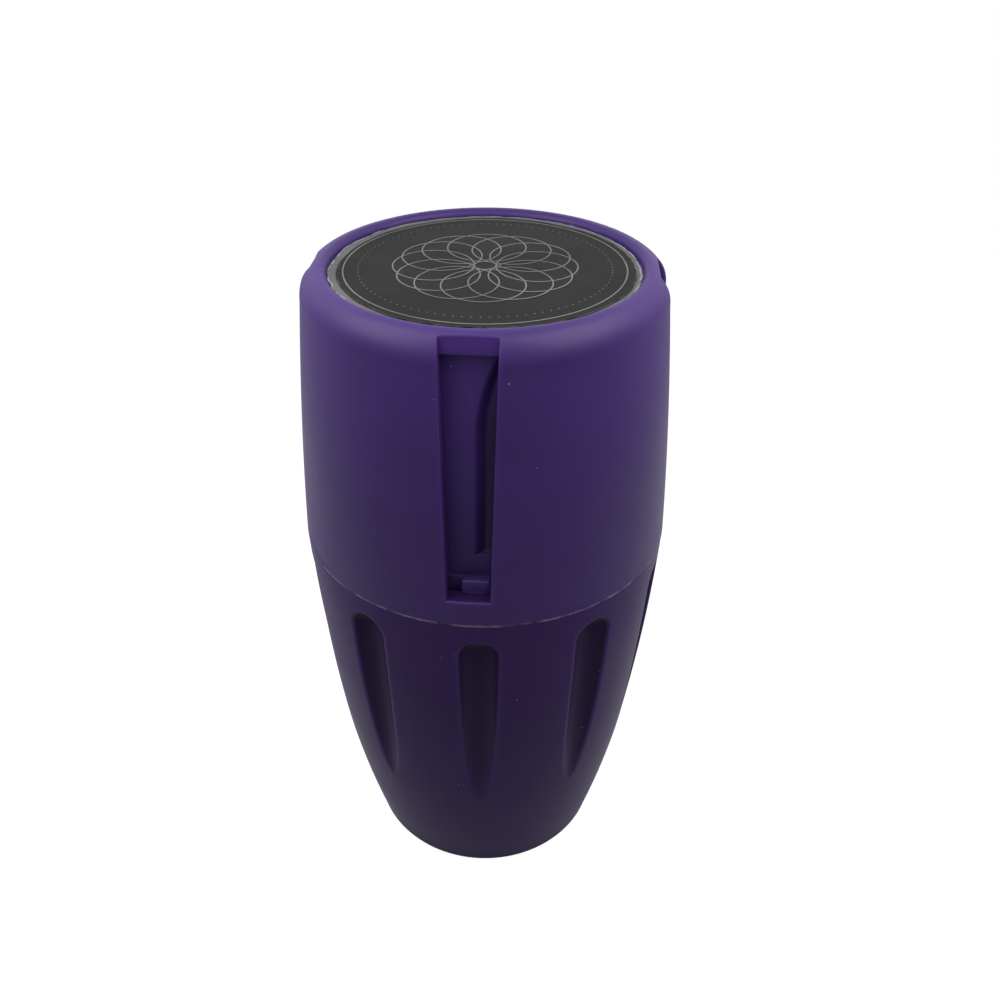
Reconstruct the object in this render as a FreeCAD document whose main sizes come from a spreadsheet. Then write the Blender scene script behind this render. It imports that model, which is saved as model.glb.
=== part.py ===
"""Hand grinder for dried herbs: a tapered fluted storage cup, a toothed deck that plugs into its
mouth, and a windowed cap that turns on the deck with the upper teeth inside it.

Millimetres, +Z up, the origin at the middle of the cup's flat base. The cup's first flute faces -Y.
"""
import math
import os

import FreeCAD
import Part
import Sketcher

# Driving sizes, in millimetres and degrees unless the note says otherwise.
SIZES = [
    # Storage cup
    ("cup_rim_z", 68.3, "height of the cup's rim, where the seam shows"),
    ("cup_rim_r", 30.25, "outer radius of the cup at its rim"),
    ("cup_knee_z", 23.4, "height where the lower curve of the side meets the upper one"),
    ("cup_knee_taper", 3.65, "how far the side has come in from the rim at that height"),
    ("cup_base_taper", 5.55, "how far the flat that the cup stands on lies inside that height's radius"),
    ("cup_base_round", 1.0, "rounding of the base's edge"),
    ("cup_low_curve", 250.0, "radius of the side's lower curve"),
    ("cup_high_curve", 380.0, "radius of the side's upper curve"),
    ("cup_floor", 2.6, "thickness of the cup's floor"),
    ("cup_wall", 2.5, "wall of the cup below the deck's plug"),
    ("cup_edge_round", 0.12, "rounding of the cup's outer rim"),
    ("flute_count", 10, "finger flutes round the cup"),
    ("flute_radius", 3.45, "radius of a flute's round section"),
    ("flute_bite", 2.52, "how far a flute's floor lies inside the rim's radius, at its head"),
    ("flute_drop", 6.85, "centre of a flute's round head, below the rim"),
    ("flute_lean", 1.5, "lean of a flute's floor from upright"),
    # Deck that plugs into the cup
    ("mouth_depth", 2.6, "depth of the counterbore that seats the deck's flange"),
    ("deck_flange", 2.0, "thickness of the deck's flange"),
    ("cup_rim_wall", 3.05, "wall of the cup beside the deck's flange"),
    ("seat_width", 1.7, "width of the ledge that the flange seats on"),
    ("deck_plug_depth", 7.3, "depth of the plug below the flange"),
    ("deck_floor", 2.5, "thickness of the deck's floor"),
    ("flange_shelf", 2.6, "width of the flange's shelf round the neck that the cap turns on"),
    ("neck_wall", 1.7, "wall of the neck, round the grinding bowl"),
    ("neck_rise", 2.7, "height of the neck above the flange"),
    ("hub_wall", 1.8, "wall of the hubs of deck and rotor, round their magnets"),
    ("hub_rise", 5.5, "height of the deck's hub above its floor"),
    ("plug_gap", 0.3, "clearance of the deck in the cup, on the radius"),
    ("drop_hole_r", 2.3, "radius of the holes that the ground herb falls through"),
    ("drop_hub_land", 1.6, "land between the hub and the inner ring of drop holes"),
    ("drop_wall_land", 0.9, "land between the bowl's wall and the outer ring of drop holes"),
    ("deck_tooth_count", 10, "teeth on the deck, and drop holes in each ring"),
    ("seal_cord_r", 0.75, "radius of the seal ring's cord"),
    ("seal_gap", 0.08, "clearance between the seal ring and the cup"),
    ("seal_room", 0.1, "room round the seal ring in its groove"),
    ("seal_drop", 3.9, "centre of the seal ring, below the flange"),
    # Teeth, pivot and magnets
    ("tooth_r", 1.2, "radius of a tooth pin"),
    ("tooth_tip", 0.5, "chamfer at a tooth's free end"),
    ("tooth_tip_gap", 2.0, "from a tooth's end to the plate that it faces"),
    ("pivot_tip", 0.5, "chamfer at the pivot pin's top"),
    ("tooth_ring_pitch", 7.6, "between the two rings of rotor teeth; the deck's teeth pass midway"),
    ("tooth_edge", 1.1, "land between the outer rotor teeth and the rotor plate's edge"),
    ("rotor_count_inner", 8, "rotor teeth on the inner ring"),
    ("rotor_count_outer", 12, "rotor teeth on the outer ring"),
    ("pivot_r", 2.0, "radius of the pivot pin"),
    ("pivot_gap", 0.06, "running clearance of the bush on the pin, on the radius"),
    ("bush_wall", 1.24, "wall of the pivot bush"),
    ("magnet_width", 2.2, "width of a ring magnet outside the bush"),
    ("magnet_depth", 2.8, "thickness of both ring magnets"),
    ("hub_gap", 0.6, "gap between the two hubs"),
    # Glide ring and rotor
    ("glide_depth", 1.2, "thickness of the glide ring"),
    ("glide_gap", 0.08, "running clearance of the glide ring on the neck, on the radius"),
    ("glide_inset", 0.32, "how far the glide ring stays inside the flange's edge"),
    ("rotor_gap", 0.5, "gap from the neck's top to the rotor plate"),
    ("rotor_play", 0.7, "clearance of the rotor plate in the grinding bowl, on the radius"),
    ("rotor_depth", 2.0, "thickness of the rotor plate"),
    ("screw_count", 3, "screws that hold the rotor plate"),
    ("screw_inset", 3.6, "ring of screws, inside the outer ring of rotor teeth"),
    ("screw_r", 1.25, "radius of a screw's shank"),
    ("screw_head_r", 2.3, "radius of a screw's countersunk head"),
    ("screw_head", 1.2, "depth of a screw's head"),
    ("screw_reach", 3.6, "how far a screw reaches into the drum above the rotor plate"),
    # Drum inside the cap
    ("skirt_gap", 0.4, "clearance of the drum's skirt round the neck, on the radius"),
    ("drum_gap", 0.8, "clearance of the flange at the drum's foot in the cap, on the radius"),
    ("drum_flange", 6.2, "height of that flange"),
    ("drum_ledge", 0.8, "width of that flange's ledge round the drum"),
    ("drum_top_gap", 1.05, "clearance of the drum's top in the cap, on the radius"),
    ("drum_wall", 3.0, "wall of the drum"),
    ("drum_floor", 2.3, "thickness of the drum's floor"),
    ("screw_boss_r", 3.0, "radius of the bosses that take the screws"),
    ("screw_boss", 2.2, "height of those bosses above the drum's floor"),
    ("lug_inset", 2.3, "how far a lug's end stays inside the cap's foot, on the radius"),
    ("lug_width", 4.2, "width of a lug"),
    ("lug_gap", 0.1, "clearance of a lug beside the window's jamb"),
    ("channel_edge", 1.3, "near edge of a drum channel, from the window's middle"),
    ("channel_width", 5.0, "width of a drum channel"),
    ("channel_depth", 1.5, "depth of a channel in the drum's side"),
    ("channel_lift", 3.5, "foot of a channel, above the drum's flange"),
    ("channel_head", 0.6, "from a channel's peak to the drum's top"),
    ("channel_peak", 11.0, "height of a channel's pointed top"),
    ("channel_curve", 25.5, "radius of the curved sides of that top"),
    # Cap shell and label
    ("seam_gap", 0.2, "gap between the cap's foot and the cup's rim"),
    ("seam_step", 0.05, "how far the cap's foot stands outside the cup's rim"),
    ("shell_draft", 3.15, "how far the cap's side has come in where the shoulder starts"),
    ("shell_curve", 650.0, "radius of the slight curve of the cap's side"),
    ("cap_height", 44.25, "height of the cap from its foot to its rim"),
    ("shoulder_round", 3.0, "radius of the shoulder"),
    ("shell_wall", 2.6, "wall of the cap"),
    ("shell_plate", 1.8, "thickness of the cap's top plate"),
    ("shell_edge_round", 0.12, "rounding of the cap's foot"),
    ("rim_round", 1.0, "rounding of the cap's rim down into the label's recess"),
    ("recess_depth", 1.15, "depth of the label's recess"),
    ("window_count", 4, "windows round the cap, and lugs and channels on the drum"),
    ("sill_rise", 4.15, "top of a window's sill, above the cap's foot"),
    ("sill_width", 6.35, "width of a window at its sill"),
    ("lintel_drop", 3.05, "underside of a window's lintel, below the cap's rim"),
    ("lintel_width", 7.75, "width of a window at its lintel"),
    ("lintel_inset", 1.8, "how far the lintel's face is set back from the cap's side at the shoulder"),
    ("cap_turn", -2.8, "how far the cap stands turned on the cup, degrees"),
    ("backing_gap", 0.05, "clearance of the label's backing in its recess, on the radius"),
    ("backing_depth", 0.16, "thickness of the label's backing"),
    ("label_margin", 0.8, "margin of the backing round the label's face"),
    ("label_depth", 0.14, "thickness of the label's face"),
]

SHEET_NAME = "sizes"


class Dim:
    """A size from the sheet, or a sum of sizes: its number, and the expression that gives it."""

    def __init__(self, value, text):
        self.value = value
        self.text = text

    @staticmethod
    def of(other):
        return other if isinstance(other, Dim) else Dim(other, repr(other))

    def join(self, other, sign, value):
        return Dim(value, "({} {} {})".format(self.text, sign, other.text))

    def __add__(self, other):
        other = Dim.of(other)
        return self.join(other, "+", self.value + other.value)

    def __sub__(self, other):
        other = Dim.of(other)
        return self.join(other, "-", self.value - other.value)

    def __mul__(self, other):
        other = Dim.of(other)
        return self.join(other, "*", self.value * other.value)

    def __truediv__(self, other):
        other = Dim.of(other)
        return self.join(other, "/", self.value / other.value)

    def __neg__(self):
        return Dim(-self.value, "(0 - {})".format(self.text))


doc = FreeCAD.newDocument("HandGrinder")


def make_sheet():
    """Write the driving sizes to a spreadsheet and return them as expressions by name."""
    sheet = doc.addObject("Spreadsheet::Sheet", SHEET_NAME)
    dims = {}
    for row, (alias, value, note) in enumerate(SIZES, start=1):
        sheet.set("A{}".format(row), alias)
        sheet.set("B{}".format(row), str(value))
        sheet.set("C{}".format(row), note)
        sheet.setAlias("B{}".format(row), alias)
    doc.recompute()
    for alias, _, _ in SIZES:
        dims[alias] = Dim(float(sheet.get(alias)), "{}.{}".format(SHEET_NAME, alias))
    return dims


D = make_sheet()
ZERO = Dim(0.0, "0")

# Heights and radii that follow from the driving sizes.
cup_knee_r = D["cup_rim_r"] - D["cup_knee_taper"]
cup_base_r = cup_knee_r - D["cup_base_taper"]
seat_z = D["cup_rim_z"] - D["mouth_depth"]
mouth_r = D["cup_rim_r"] - D["cup_rim_wall"]
bore_r = mouth_r - D["seat_width"]
deck_flange_r = mouth_r - D["plug_gap"]
deck_plug_r = bore_r - D["plug_gap"]
neck_r = deck_flange_r - D["flange_shelf"]
deck_bowl_r = neck_r - D["neck_wall"]
seal_ring_r = bore_r - D["seal_gap"] - D["seal_cord_r"]
plug_z = seat_z - D["deck_plug_depth"]
bowl_z = plug_z + D["deck_floor"]
flange_z = seat_z + D["deck_flange"]
neck_z = flange_z + D["neck_rise"]
hub_z = bowl_z + D["hub_rise"]
glide_z = flange_z + D["glide_depth"]
glide_r = neck_r + D["glide_gap"]
rotor_z = neck_z + D["rotor_gap"]
rotor_r = deck_bowl_r - D["rotor_play"]
drum_floor_z = rotor_z + D["rotor_depth"]
drum_floor_top = drum_floor_z + D["drum_floor"]
rotor_hub_z = hub_z + D["hub_gap"]
bush_bore = D["pivot_r"] + D["pivot_gap"]
bush_r = bush_bore + D["bush_wall"]
magnet_r = bush_r + D["magnet_width"]
hub_r = magnet_r + D["hub_wall"]
drop_ring_inner = hub_r + D["drop_hub_land"] + D["drop_hole_r"]
drop_ring_outer = deck_bowl_r - D["drop_wall_land"] - D["drop_hole_r"]
rotor_ring_outer = rotor_r - D["tooth_edge"] - D["tooth_r"]
rotor_ring_inner = rotor_ring_outer - D["tooth_ring_pitch"]
deck_tooth_ring = rotor_ring_outer - D["tooth_ring_pitch"] / 2
screw_ring = rotor_ring_outer - D["screw_inset"]
screw_tip_z = drum_floor_z + D["screw_reach"]
shell_z = D["cup_rim_z"] + D["seam_gap"]
shell_top_z = shell_z + D["cap_height"]
shell_foot_r = D["cup_rim_r"] + D["seam_step"]
shell_shoulder_r = shell_foot_r - D["shell_draft"]
recess_z = shell_top_z - D["recess_depth"]
recess_r = shell_shoulder_r - D["shoulder_round"] - D["rim_round"]
plate_z = recess_z - D["shell_plate"]
sill_z = shell_z + D["sill_rise"]
lintel_z = shell_top_z - D["lintel_drop"]
lintel_face = shell_shoulder_r - D["lintel_inset"]
backing_r = recess_r - D["backing_gap"]
label_r = backing_r - D["label_margin"]
drum_flange_top = glide_z + D["drum_flange"]
drum_flange_r = shell_foot_r - D["shell_wall"] - D["drum_gap"]
drum_foot_r = drum_flange_r - D["drum_ledge"]
drum_top_r = shell_shoulder_r - D["shell_wall"] - D["drum_top_gap"]
skirt_r = neck_r + D["skirt_gap"]
lug_reach = shell_foot_r - D["lug_inset"]

def new_body(label, turned=False):
    """Start a named sub-part; the pieces of the cap stand turned with it about the axis."""
    body = doc.addObject("PartDesign::Body", label)
    body.Label = label
    set_turn(body, turned)
    return body


def set_turn(obj, turned):
    """Place a piece on the axis, turned with the cap or not."""
    obj.Placement = FreeCAD.Placement(FreeCAD.Vector(0, 0, 0), FreeCAD.Rotation(FreeCAD.Vector(0, 0, 1), 0))
    if turned:
        obj.setExpression("Placement.Rotation.Angle", D["cap_turn"].text)


def plane(body, role):
    """One of the body's own origin planes."""
    for feature in body.Origin.OriginFeatures:
        if feature.Role == role:
            return feature
    raise ValueError(role)


def new_sketch(body, name, role, lift=None):
    """A sketch on one of the body's origin planes, lifted along its normal if asked."""
    sketch = body.newObject("Sketcher::SketchObject", name)
    sketch.AttachmentSupport = [(plane(body, role), "")]
    sketch.MapMode = "FlatFace"
    if lift is not None:
        sketch.AttachmentOffset = FreeCAD.Placement(FreeCAD.Vector(0, 0, lift.value), FreeCAD.Rotation())
        sketch.setExpression("AttachmentOffset.Base.z", lift.text)
    return sketch


def bind(sketch, constraint, dim):
    """Add a constraint and tie its value to the sheet."""
    index = sketch.addConstraint(constraint)
    sketch.setExpression("Constraints[{}]".format(index), dim.text)


def pin_point(sketch, geo, pos, x, y):
    """Fix a point of the sketch at the given sizes from the sketch's origin."""
    if x is ZERO:
        sketch.addConstraint(Sketcher.Constraint("PointOnObject", geo, pos, -2))
    else:
        bind(sketch, Sketcher.Constraint("DistanceX", -1, 1, geo, pos, x.value), x)
    if y is ZERO:
        sketch.addConstraint(Sketcher.Constraint("PointOnObject", geo, pos, -1))
    else:
        bind(sketch, Sketcher.Constraint("DistanceY", -1, 1, geo, pos, y.value), y)


def arc_middle(first, last, radius, left):
    """Middle of the short arc between two points, bulging to the left of the way or to the right."""
    chord = last - first
    half = chord.Length / 2
    normal = FreeCAD.Vector(-chord.y, chord.x, 0).normalize()
    if not left:
        normal = -normal
    rise = math.sqrt(max(radius * radius - half * half, 0.0))
    return first + chord * 0.5 + normal * (radius - rise)


def closed_outline(sketch, corners):
    """Draw a closed outline; a corner is (x, y) or (x, y, radius, left) when an arc leaves it."""
    points = [FreeCAD.Vector(c[0].value, c[1].value, 0) for c in corners]
    ends = []
    for i, corner in enumerate(corners):
        first = points[i]
        last = points[(i + 1) % len(points)]
        if len(corner) == 2:
            geo = sketch.addGeometry(Part.LineSegment(first, last), False)
            ends.append((geo, 1, 2))
            continue
        middle = arc_middle(first, last, corner[2].value, corner[3])
        geo = sketch.addGeometry(Part.Arc(first, middle, last), False)
        start = sketch.Geometry[geo].StartPoint
        forward = start.distanceToPoint(first) < start.distanceToPoint(last)
        ends.append((geo, 1, 2) if forward else (geo, 2, 1))
    for i, (geo, _, last) in enumerate(ends):
        after, start, _ = ends[(i + 1) % len(ends)]
        sketch.addConstraint(Sketcher.Constraint("Coincident", geo, last, after, start))
    for (geo, start, _), corner in zip(ends, corners):
        pin_point(sketch, geo, start, corner[0], corner[1])
        if len(corner) == 4:
            bind(sketch, Sketcher.Constraint("Radius", geo, corner[2].value), corner[2])


def turn_solid(body, name, corners):
    """A solid of revolution about Z from an outline of (radius, height) corners."""
    sketch = new_sketch(body, name + "Profile", "XZ_Plane")
    closed_outline(sketch, corners)
    solid = body.newObject("PartDesign::Revolution", name)
    solid.Profile = sketch
    solid.ReferenceAxis = (sketch, ["V_Axis"])
    solid.Angle = 360
    doc.recompute()
    return solid


def around(body, feature, count, name):
    """Repeat a feature round the Z axis."""
    pattern = body.newObject("PartDesign::PolarPattern", name)
    pattern.Originals = [feature]
    pattern.Axis = (plane_axis(body), [""])
    pattern.Angle = 360
    pattern.setExpression("Occurrences", count.text)
    body.Tip = pattern
    doc.recompute()
    return pattern


def plane_axis(body):
    """The body's own Z axis."""
    for feature in body.Origin.OriginFeatures:
        if feature.Role == "Z_Axis":
            return feature
    raise ValueError("Z_Axis")


def cut_checked(body, feature, before):
    """Make sure that a cut took material away."""
    doc.recompute()
    if body.Shape.Volume >= before:
        raise RuntimeError(feature.Name + " cut nothing")


def round_holes(body, name, ring, radius, count, low, high, half_step):
    """A ring of round holes along Z between two heights, the first at +X or half a step past it."""
    before = body.Shape.Volume
    sketch = new_sketch(body, name + "Circle", "XY_Plane", low)
    geo = sketch.addGeometry(
        Part.Circle(FreeCAD.Vector(ring.value, 0, 0), FreeCAD.Vector(0, 0, 1), radius.value), False)
    bind(sketch, Sketcher.Constraint("Radius", geo, radius.value), radius)
    pin_point(sketch, geo, 3, ring, ZERO)
    if half_step:
        sketch.setExpression("AttachmentOffset.Rotation.Angle", "180 / {}".format(count.text))
    pocket = body.newObject("PartDesign::Pocket", name)
    pocket.Profile = sketch
    pocket.Reversed = True
    pocket.setExpression("Length", (high - low).text)
    doc.recompute()
    around(body, pocket, count, name + "Ring")
    cut_checked(body, pocket, before)


def build_cup():
    """The tapered cup with its finger flutes, its store and the seat for the deck."""
    body = new_body("storage_cup")
    turn_solid(body, "CupSolid", [
        (ZERO, ZERO),
        (cup_base_r, ZERO, D["cup_base_round"], False),
        (cup_base_r + D["cup_base_round"], D["cup_base_round"], D["cup_low_curve"], False),
        (cup_knee_r, D["cup_knee_z"], D["cup_high_curve"], False),
        (D["cup_rim_r"], D["cup_rim_z"] - D["cup_edge_round"], D["cup_edge_round"], False),
        (D["cup_rim_r"] - D["cup_edge_round"], D["cup_rim_z"]),
        (mouth_r, D["cup_rim_z"]),
        (mouth_r, seat_z),
        (bore_r, seat_z),
        (bore_r, plug_z - D["plug_gap"]),
        (cup_knee_r - D["cup_wall"], D["cup_knee_z"]),
        (cup_base_r - D["cup_wall"], D["cup_floor"]),
        (ZERO, D["cup_floor"]),
    ])
    before = body.Shape.Volume
    sketch = new_sketch(body, "FluteProfile", "YZ_Plane")
    turn = FreeCAD.Rotation(FreeCAD.Vector(0, 0, 1), D["flute_lean"].value)
    head_r = D["cup_rim_r"] + D["flute_radius"] - D["flute_bite"]
    head_z = D["cup_rim_z"] - D["flute_drop"]
    sketch.AttachmentOffset = FreeCAD.Placement(FreeCAD.Vector(-head_r.value, head_z.value, 0), turn)
    sketch.setExpression("AttachmentOffset.Base.x", (-head_r).text)
    sketch.setExpression("AttachmentOffset.Base.y", head_z.text)
    sketch.setExpression("AttachmentOffset.Rotation.Angle", D["flute_lean"].text)
    closed_outline(sketch, [
        (ZERO, -D["cup_rim_z"]),
        (D["flute_radius"], -D["cup_rim_z"]),
        (D["flute_radius"], ZERO, D["flute_radius"], False),
        (ZERO, D["flute_radius"]),
    ])
    groove = body.newObject("PartDesign::Groove", "Flute")
    groove.Profile = sketch
    groove.ReferenceAxis = (sketch, ["V_Axis"])
    groove.Angle = 360
    doc.recompute()
    around(body, groove, D["flute_count"], "Flutes")
    cut_checked(body, groove, before)
    return body


def build_deck():
    """The deck: plug, flange, turning neck, grinding bowl with its hub, and its holes."""
    body = new_body("mill_deck")
    seal_z = seat_z - D["seal_drop"]
    half_groove = D["seal_cord_r"] + D["seal_room"]
    groove_r = seal_ring_r - half_groove
    turn_solid(body, "DeckSolid", [
        (D["pivot_r"], plug_z),
        (deck_plug_r, plug_z),
        (deck_plug_r, seal_z - half_groove),
        (groove_r, seal_z - half_groove),
        (groove_r, seal_z + half_groove),
        (deck_plug_r, seal_z + half_groove),
        (deck_plug_r, seat_z),
        (deck_flange_r, seat_z),
        (deck_flange_r, flange_z),
        (neck_r, flange_z),
        (neck_r, neck_z),
        (deck_bowl_r, neck_z),
        (deck_bowl_r, bowl_z),
        (hub_r, bowl_z),
        (hub_r, hub_z),
        (magnet_r, hub_z),
        (magnet_r, hub_z - D["magnet_depth"]),
        (D["pivot_r"], hub_z - D["magnet_depth"]),
    ])
    count = D["deck_tooth_count"]
    round_holes(body, "ToothHole", deck_tooth_ring, D["tooth_r"], count, plug_z, bowl_z, True)
    round_holes(body, "InnerDrop", drop_ring_inner, D["drop_hole_r"], count, plug_z, bowl_z, False)
    round_holes(body, "OuterDrop", drop_ring_outer, D["drop_hole_r"], count, plug_z, bowl_z, False)
    return body


def build_pivot():
    """The steel pin pressed into the deck's hub, that centres the cap."""
    body = new_body("pivot_pin")
    top = drum_floor_z - D["rotor_gap"]
    turn_solid(body, "PinSolid", [
        (ZERO, plug_z),
        (D["pivot_r"], plug_z),
        (D["pivot_r"], top - D["pivot_tip"]),
        (D["pivot_r"] - D["pivot_tip"], top),
        (ZERO, top),
    ])
    return body


def build_ring(label, inner, outer, low, high, turned):
    """A plain ring between two heights."""
    body = new_body(label, turned)
    turn_solid(body, label.title().replace("_", ""), [
        (inner, low),
        (outer, low),
        (outer, high),
        (inner, high),
    ])
    return body


def build_seal():
    """The rubber ring in the plug's groove, that holds the deck in the cup."""
    seal = doc.addObject("Part::Torus", "deck_seal")
    seal.Label = "deck_seal"
    seal.setExpression("Radius1", seal_ring_r.text)
    seal.setExpression("Radius2", D["seal_cord_r"].text)
    seal.setExpression("Placement.Base.z", (seat_z - D["seal_drop"]).text)
    return seal


def build_rotor_plate():
    """The plate under the drum that carries the upper teeth, with its hub."""
    body = new_body("rotor_plate", True)
    turn_solid(body, "RotorSolid", [
        (bush_r, rotor_hub_z + D["magnet_depth"]),
        (magnet_r, rotor_hub_z + D["magnet_depth"]),
        (magnet_r, rotor_hub_z),
        (hub_r, rotor_hub_z),
        (hub_r, rotor_z),
        (rotor_r, rotor_z),
        (rotor_r, drum_floor_z),
        (bush_r, drum_floor_z),
    ])
    for name, ring, count in (("InnerHole", rotor_ring_inner, D["rotor_count_inner"]),
                              ("OuterHole", rotor_ring_outer, D["rotor_count_outer"])):
        round_holes(body, name, ring, D["tooth_r"], count, rotor_z, drum_floor_z, True)
    before = body.Shape.Volume
    sketch = new_sketch(body, "ScrewHoleProfile", "XZ_Plane")
    sketch.AttachmentOffset = FreeCAD.Placement(FreeCAD.Vector(screw_ring.value, 0, 0), FreeCAD.Rotation())
    sketch.setExpression("AttachmentOffset.Base.x", screw_ring.text)
    closed_outline(sketch, [
        (ZERO, rotor_z),
        (D["screw_head_r"], rotor_z),
        (D["screw_r"], rotor_z + D["screw_head"]),
        (D["screw_r"], drum_floor_z),
        (ZERO, drum_floor_z),
    ])
    groove = body.newObject("PartDesign::Groove", "ScrewHole")
    groove.Profile = sketch
    groove.ReferenceAxis = (sketch, ["V_Axis"])
    groove.Angle = 360
    doc.recompute()
    around(body, groove, D["screw_count"], "ScrewHoles")
    cut_checked(body, groove, before)
    return body


def pin_shape(ring, angle, seat, free):
    """A tooth pin: a cylinder on a ring from its seat to its free end, where it is chamfered."""
    radius = D["tooth_r"].value
    tip = D["tooth_tip"].value
    way = FreeCAD.Vector(0, 0, 1 if free > seat else -1)
    foot = FreeCAD.Vector(ring * math.cos(angle), ring * math.sin(angle), seat)
    shank = abs(free - seat) - tip
    pin = Part.makeCylinder(radius, shank, foot, way)
    return pin.fuse(Part.makeCone(radius, radius - tip, tip, foot + way * shank, way)).removeSplitter()


def build_teeth(label, rings, seat, free, turned):
    """A set of tooth pins on rings of (radius, count), each ring starting half a step past +X."""
    pins = []
    for ring, count in rings:
        number = int(count.value)
        for i in range(number):
            angle = 2 * math.pi * (i + 0.5) / number
            pins.append(pin_shape(ring.value, angle, seat.value, free.value))
    return set_shape(label, Part.makeCompound(pins), turned)


def set_shape(label, shape, turned):
    """A sub-part made of several loose solids."""
    feature = doc.addObject("Part::Feature", label)
    feature.Label = label
    feature.Shape = shape
    set_turn(feature, turned)
    return feature


def build_screws():
    """The countersunk screws that hold the rotor plate to the drum."""
    screws = []
    head = D["screw_head"].value
    shank_r = D["screw_r"].value
    up = FreeCAD.Vector(0, 0, 1)
    for i in range(int(D["screw_count"].value)):
        angle = 2 * math.pi * i / int(D["screw_count"].value)
        ring = screw_ring.value
        foot = FreeCAD.Vector(ring * math.cos(angle), ring * math.sin(angle), rotor_z.value)
        cone = Part.makeCone(D["screw_head_r"].value, shank_r, head, foot, up)
        shank = Part.makeCylinder(shank_r, screw_tip_z.value - rotor_z.value - head, foot + up * head, up)
        screws.append(cone.fuse(shank).removeSplitter())
    return set_shape("rotor_screws", Part.makeCompound(screws), True)


def build_drum():
    """The drum inside the cap: skirt round the neck, floor over the rotor, lugs in the windows."""
    body = new_body("mill_drum", True)
    turn_solid(body, "DrumSolid", [
        (skirt_r, glide_z),
        (drum_flange_r, glide_z),
        (drum_flange_r, drum_flange_top),
        (drum_foot_r, drum_flange_top),
        (drum_top_r, plate_z),
        (drum_top_r - D["drum_wall"], plate_z),
        (drum_foot_r - D["drum_wall"], drum_floor_top),
        (ZERO, drum_floor_top),
        (ZERO, drum_floor_z),
        (skirt_r, drum_floor_z),
    ])
    sketch = new_sketch(body, "BossCircle", "XY_Plane", drum_floor_top)
    geo = sketch.addGeometry(
        Part.Circle(FreeCAD.Vector(screw_ring.value, 0, 0), FreeCAD.Vector(0, 0, 1),
                    D["screw_boss_r"].value), False)
    bind(sketch, Sketcher.Constraint("Radius", geo, D["screw_boss_r"].value), D["screw_boss_r"])
    pin_point(sketch, geo, 3, screw_ring, ZERO)
    boss = body.newObject("PartDesign::Pad", "ScrewBoss")
    boss.Profile = sketch
    boss.setExpression("Length", D["screw_boss"].text)
    doc.recompute()
    around(body, boss, D["screw_count"], "ScrewBosses")
    round_holes(body, "ScrewPilot", screw_ring, D["screw_r"], D["screw_count"],
                drum_floor_z, screw_tip_z, False)
    right = D["sill_width"] / 2 - D["lug_gap"]
    left = right - D["lug_width"]
    sketch = new_sketch(body, "LugOutline", "XY_Plane", sill_z)
    closed_outline(sketch, [
        (left, -lug_reach),
        (right, -lug_reach),
        (right, -drum_foot_r),
        (left, -drum_foot_r),
    ])
    lug = body.newObject("PartDesign::Pad", "Lug")
    lug.Profile = sketch
    lug.setExpression("Length", (drum_flange_top - sill_z).text)
    doc.recompute()
    around(body, lug, D["window_count"], "Lugs")
    before = body.Shape.Volume
    foot = drum_flange_top + D["channel_lift"]
    spring = plate_z - D["channel_head"] - D["channel_peak"]
    near = D["channel_edge"]
    slope = (drum_foot_r - drum_top_r) / (plate_z - drum_flange_top)
    lift = drum_foot_r - D["channel_depth"] + drum_flange_top * slope
    sketch = new_sketch(body, "ChannelOutline", "XZ_Plane", lift)
    lean = FreeCAD.Rotation(FreeCAD.Vector(-1, 0, 0), math.degrees(math.atan(slope.value)))
    sketch.AttachmentOffset = FreeCAD.Placement(FreeCAD.Vector(0, 0, lift.value), lean)
    sketch.setExpression("AttachmentOffset.Rotation.Angle", "atan({})".format(slope.text))
    closed_outline(sketch, [
        (near, foot),
        (near + D["channel_width"], foot),
        (near + D["channel_width"], spring, D["channel_curve"], False),
        (near + D["channel_width"] / 2, spring + D["channel_peak"], D["channel_curve"], False),
        (near, spring),
    ])
    channel = body.newObject("PartDesign::Pocket", "Channel")
    channel.Profile = sketch
    channel.Reversed = True
    channel.setExpression("Length", D["drum_wall"].text)
    doc.recompute()
    around(body, channel, D["window_count"], "Channels")
    cut_checked(body, channel, before)
    return body


def cut_front(body, name, lift, corners):
    """Cut an outline on the -Y side of the cap, from a distance off the axis out through the wall."""
    before = body.Shape.Volume
    sketch = new_sketch(body, name + "Outline", "XZ_Plane", lift)
    closed_outline(sketch, corners)
    pocket = body.newObject("PartDesign::Pocket", name)
    pocket.Profile = sketch
    pocket.Reversed = True
    pocket.setExpression("Length", (shell_foot_r + D["shell_wall"] - lift).text)
    doc.recompute()
    around(body, pocket, D["window_count"], name + "s")
    cut_checked(body, pocket, before)


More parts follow.
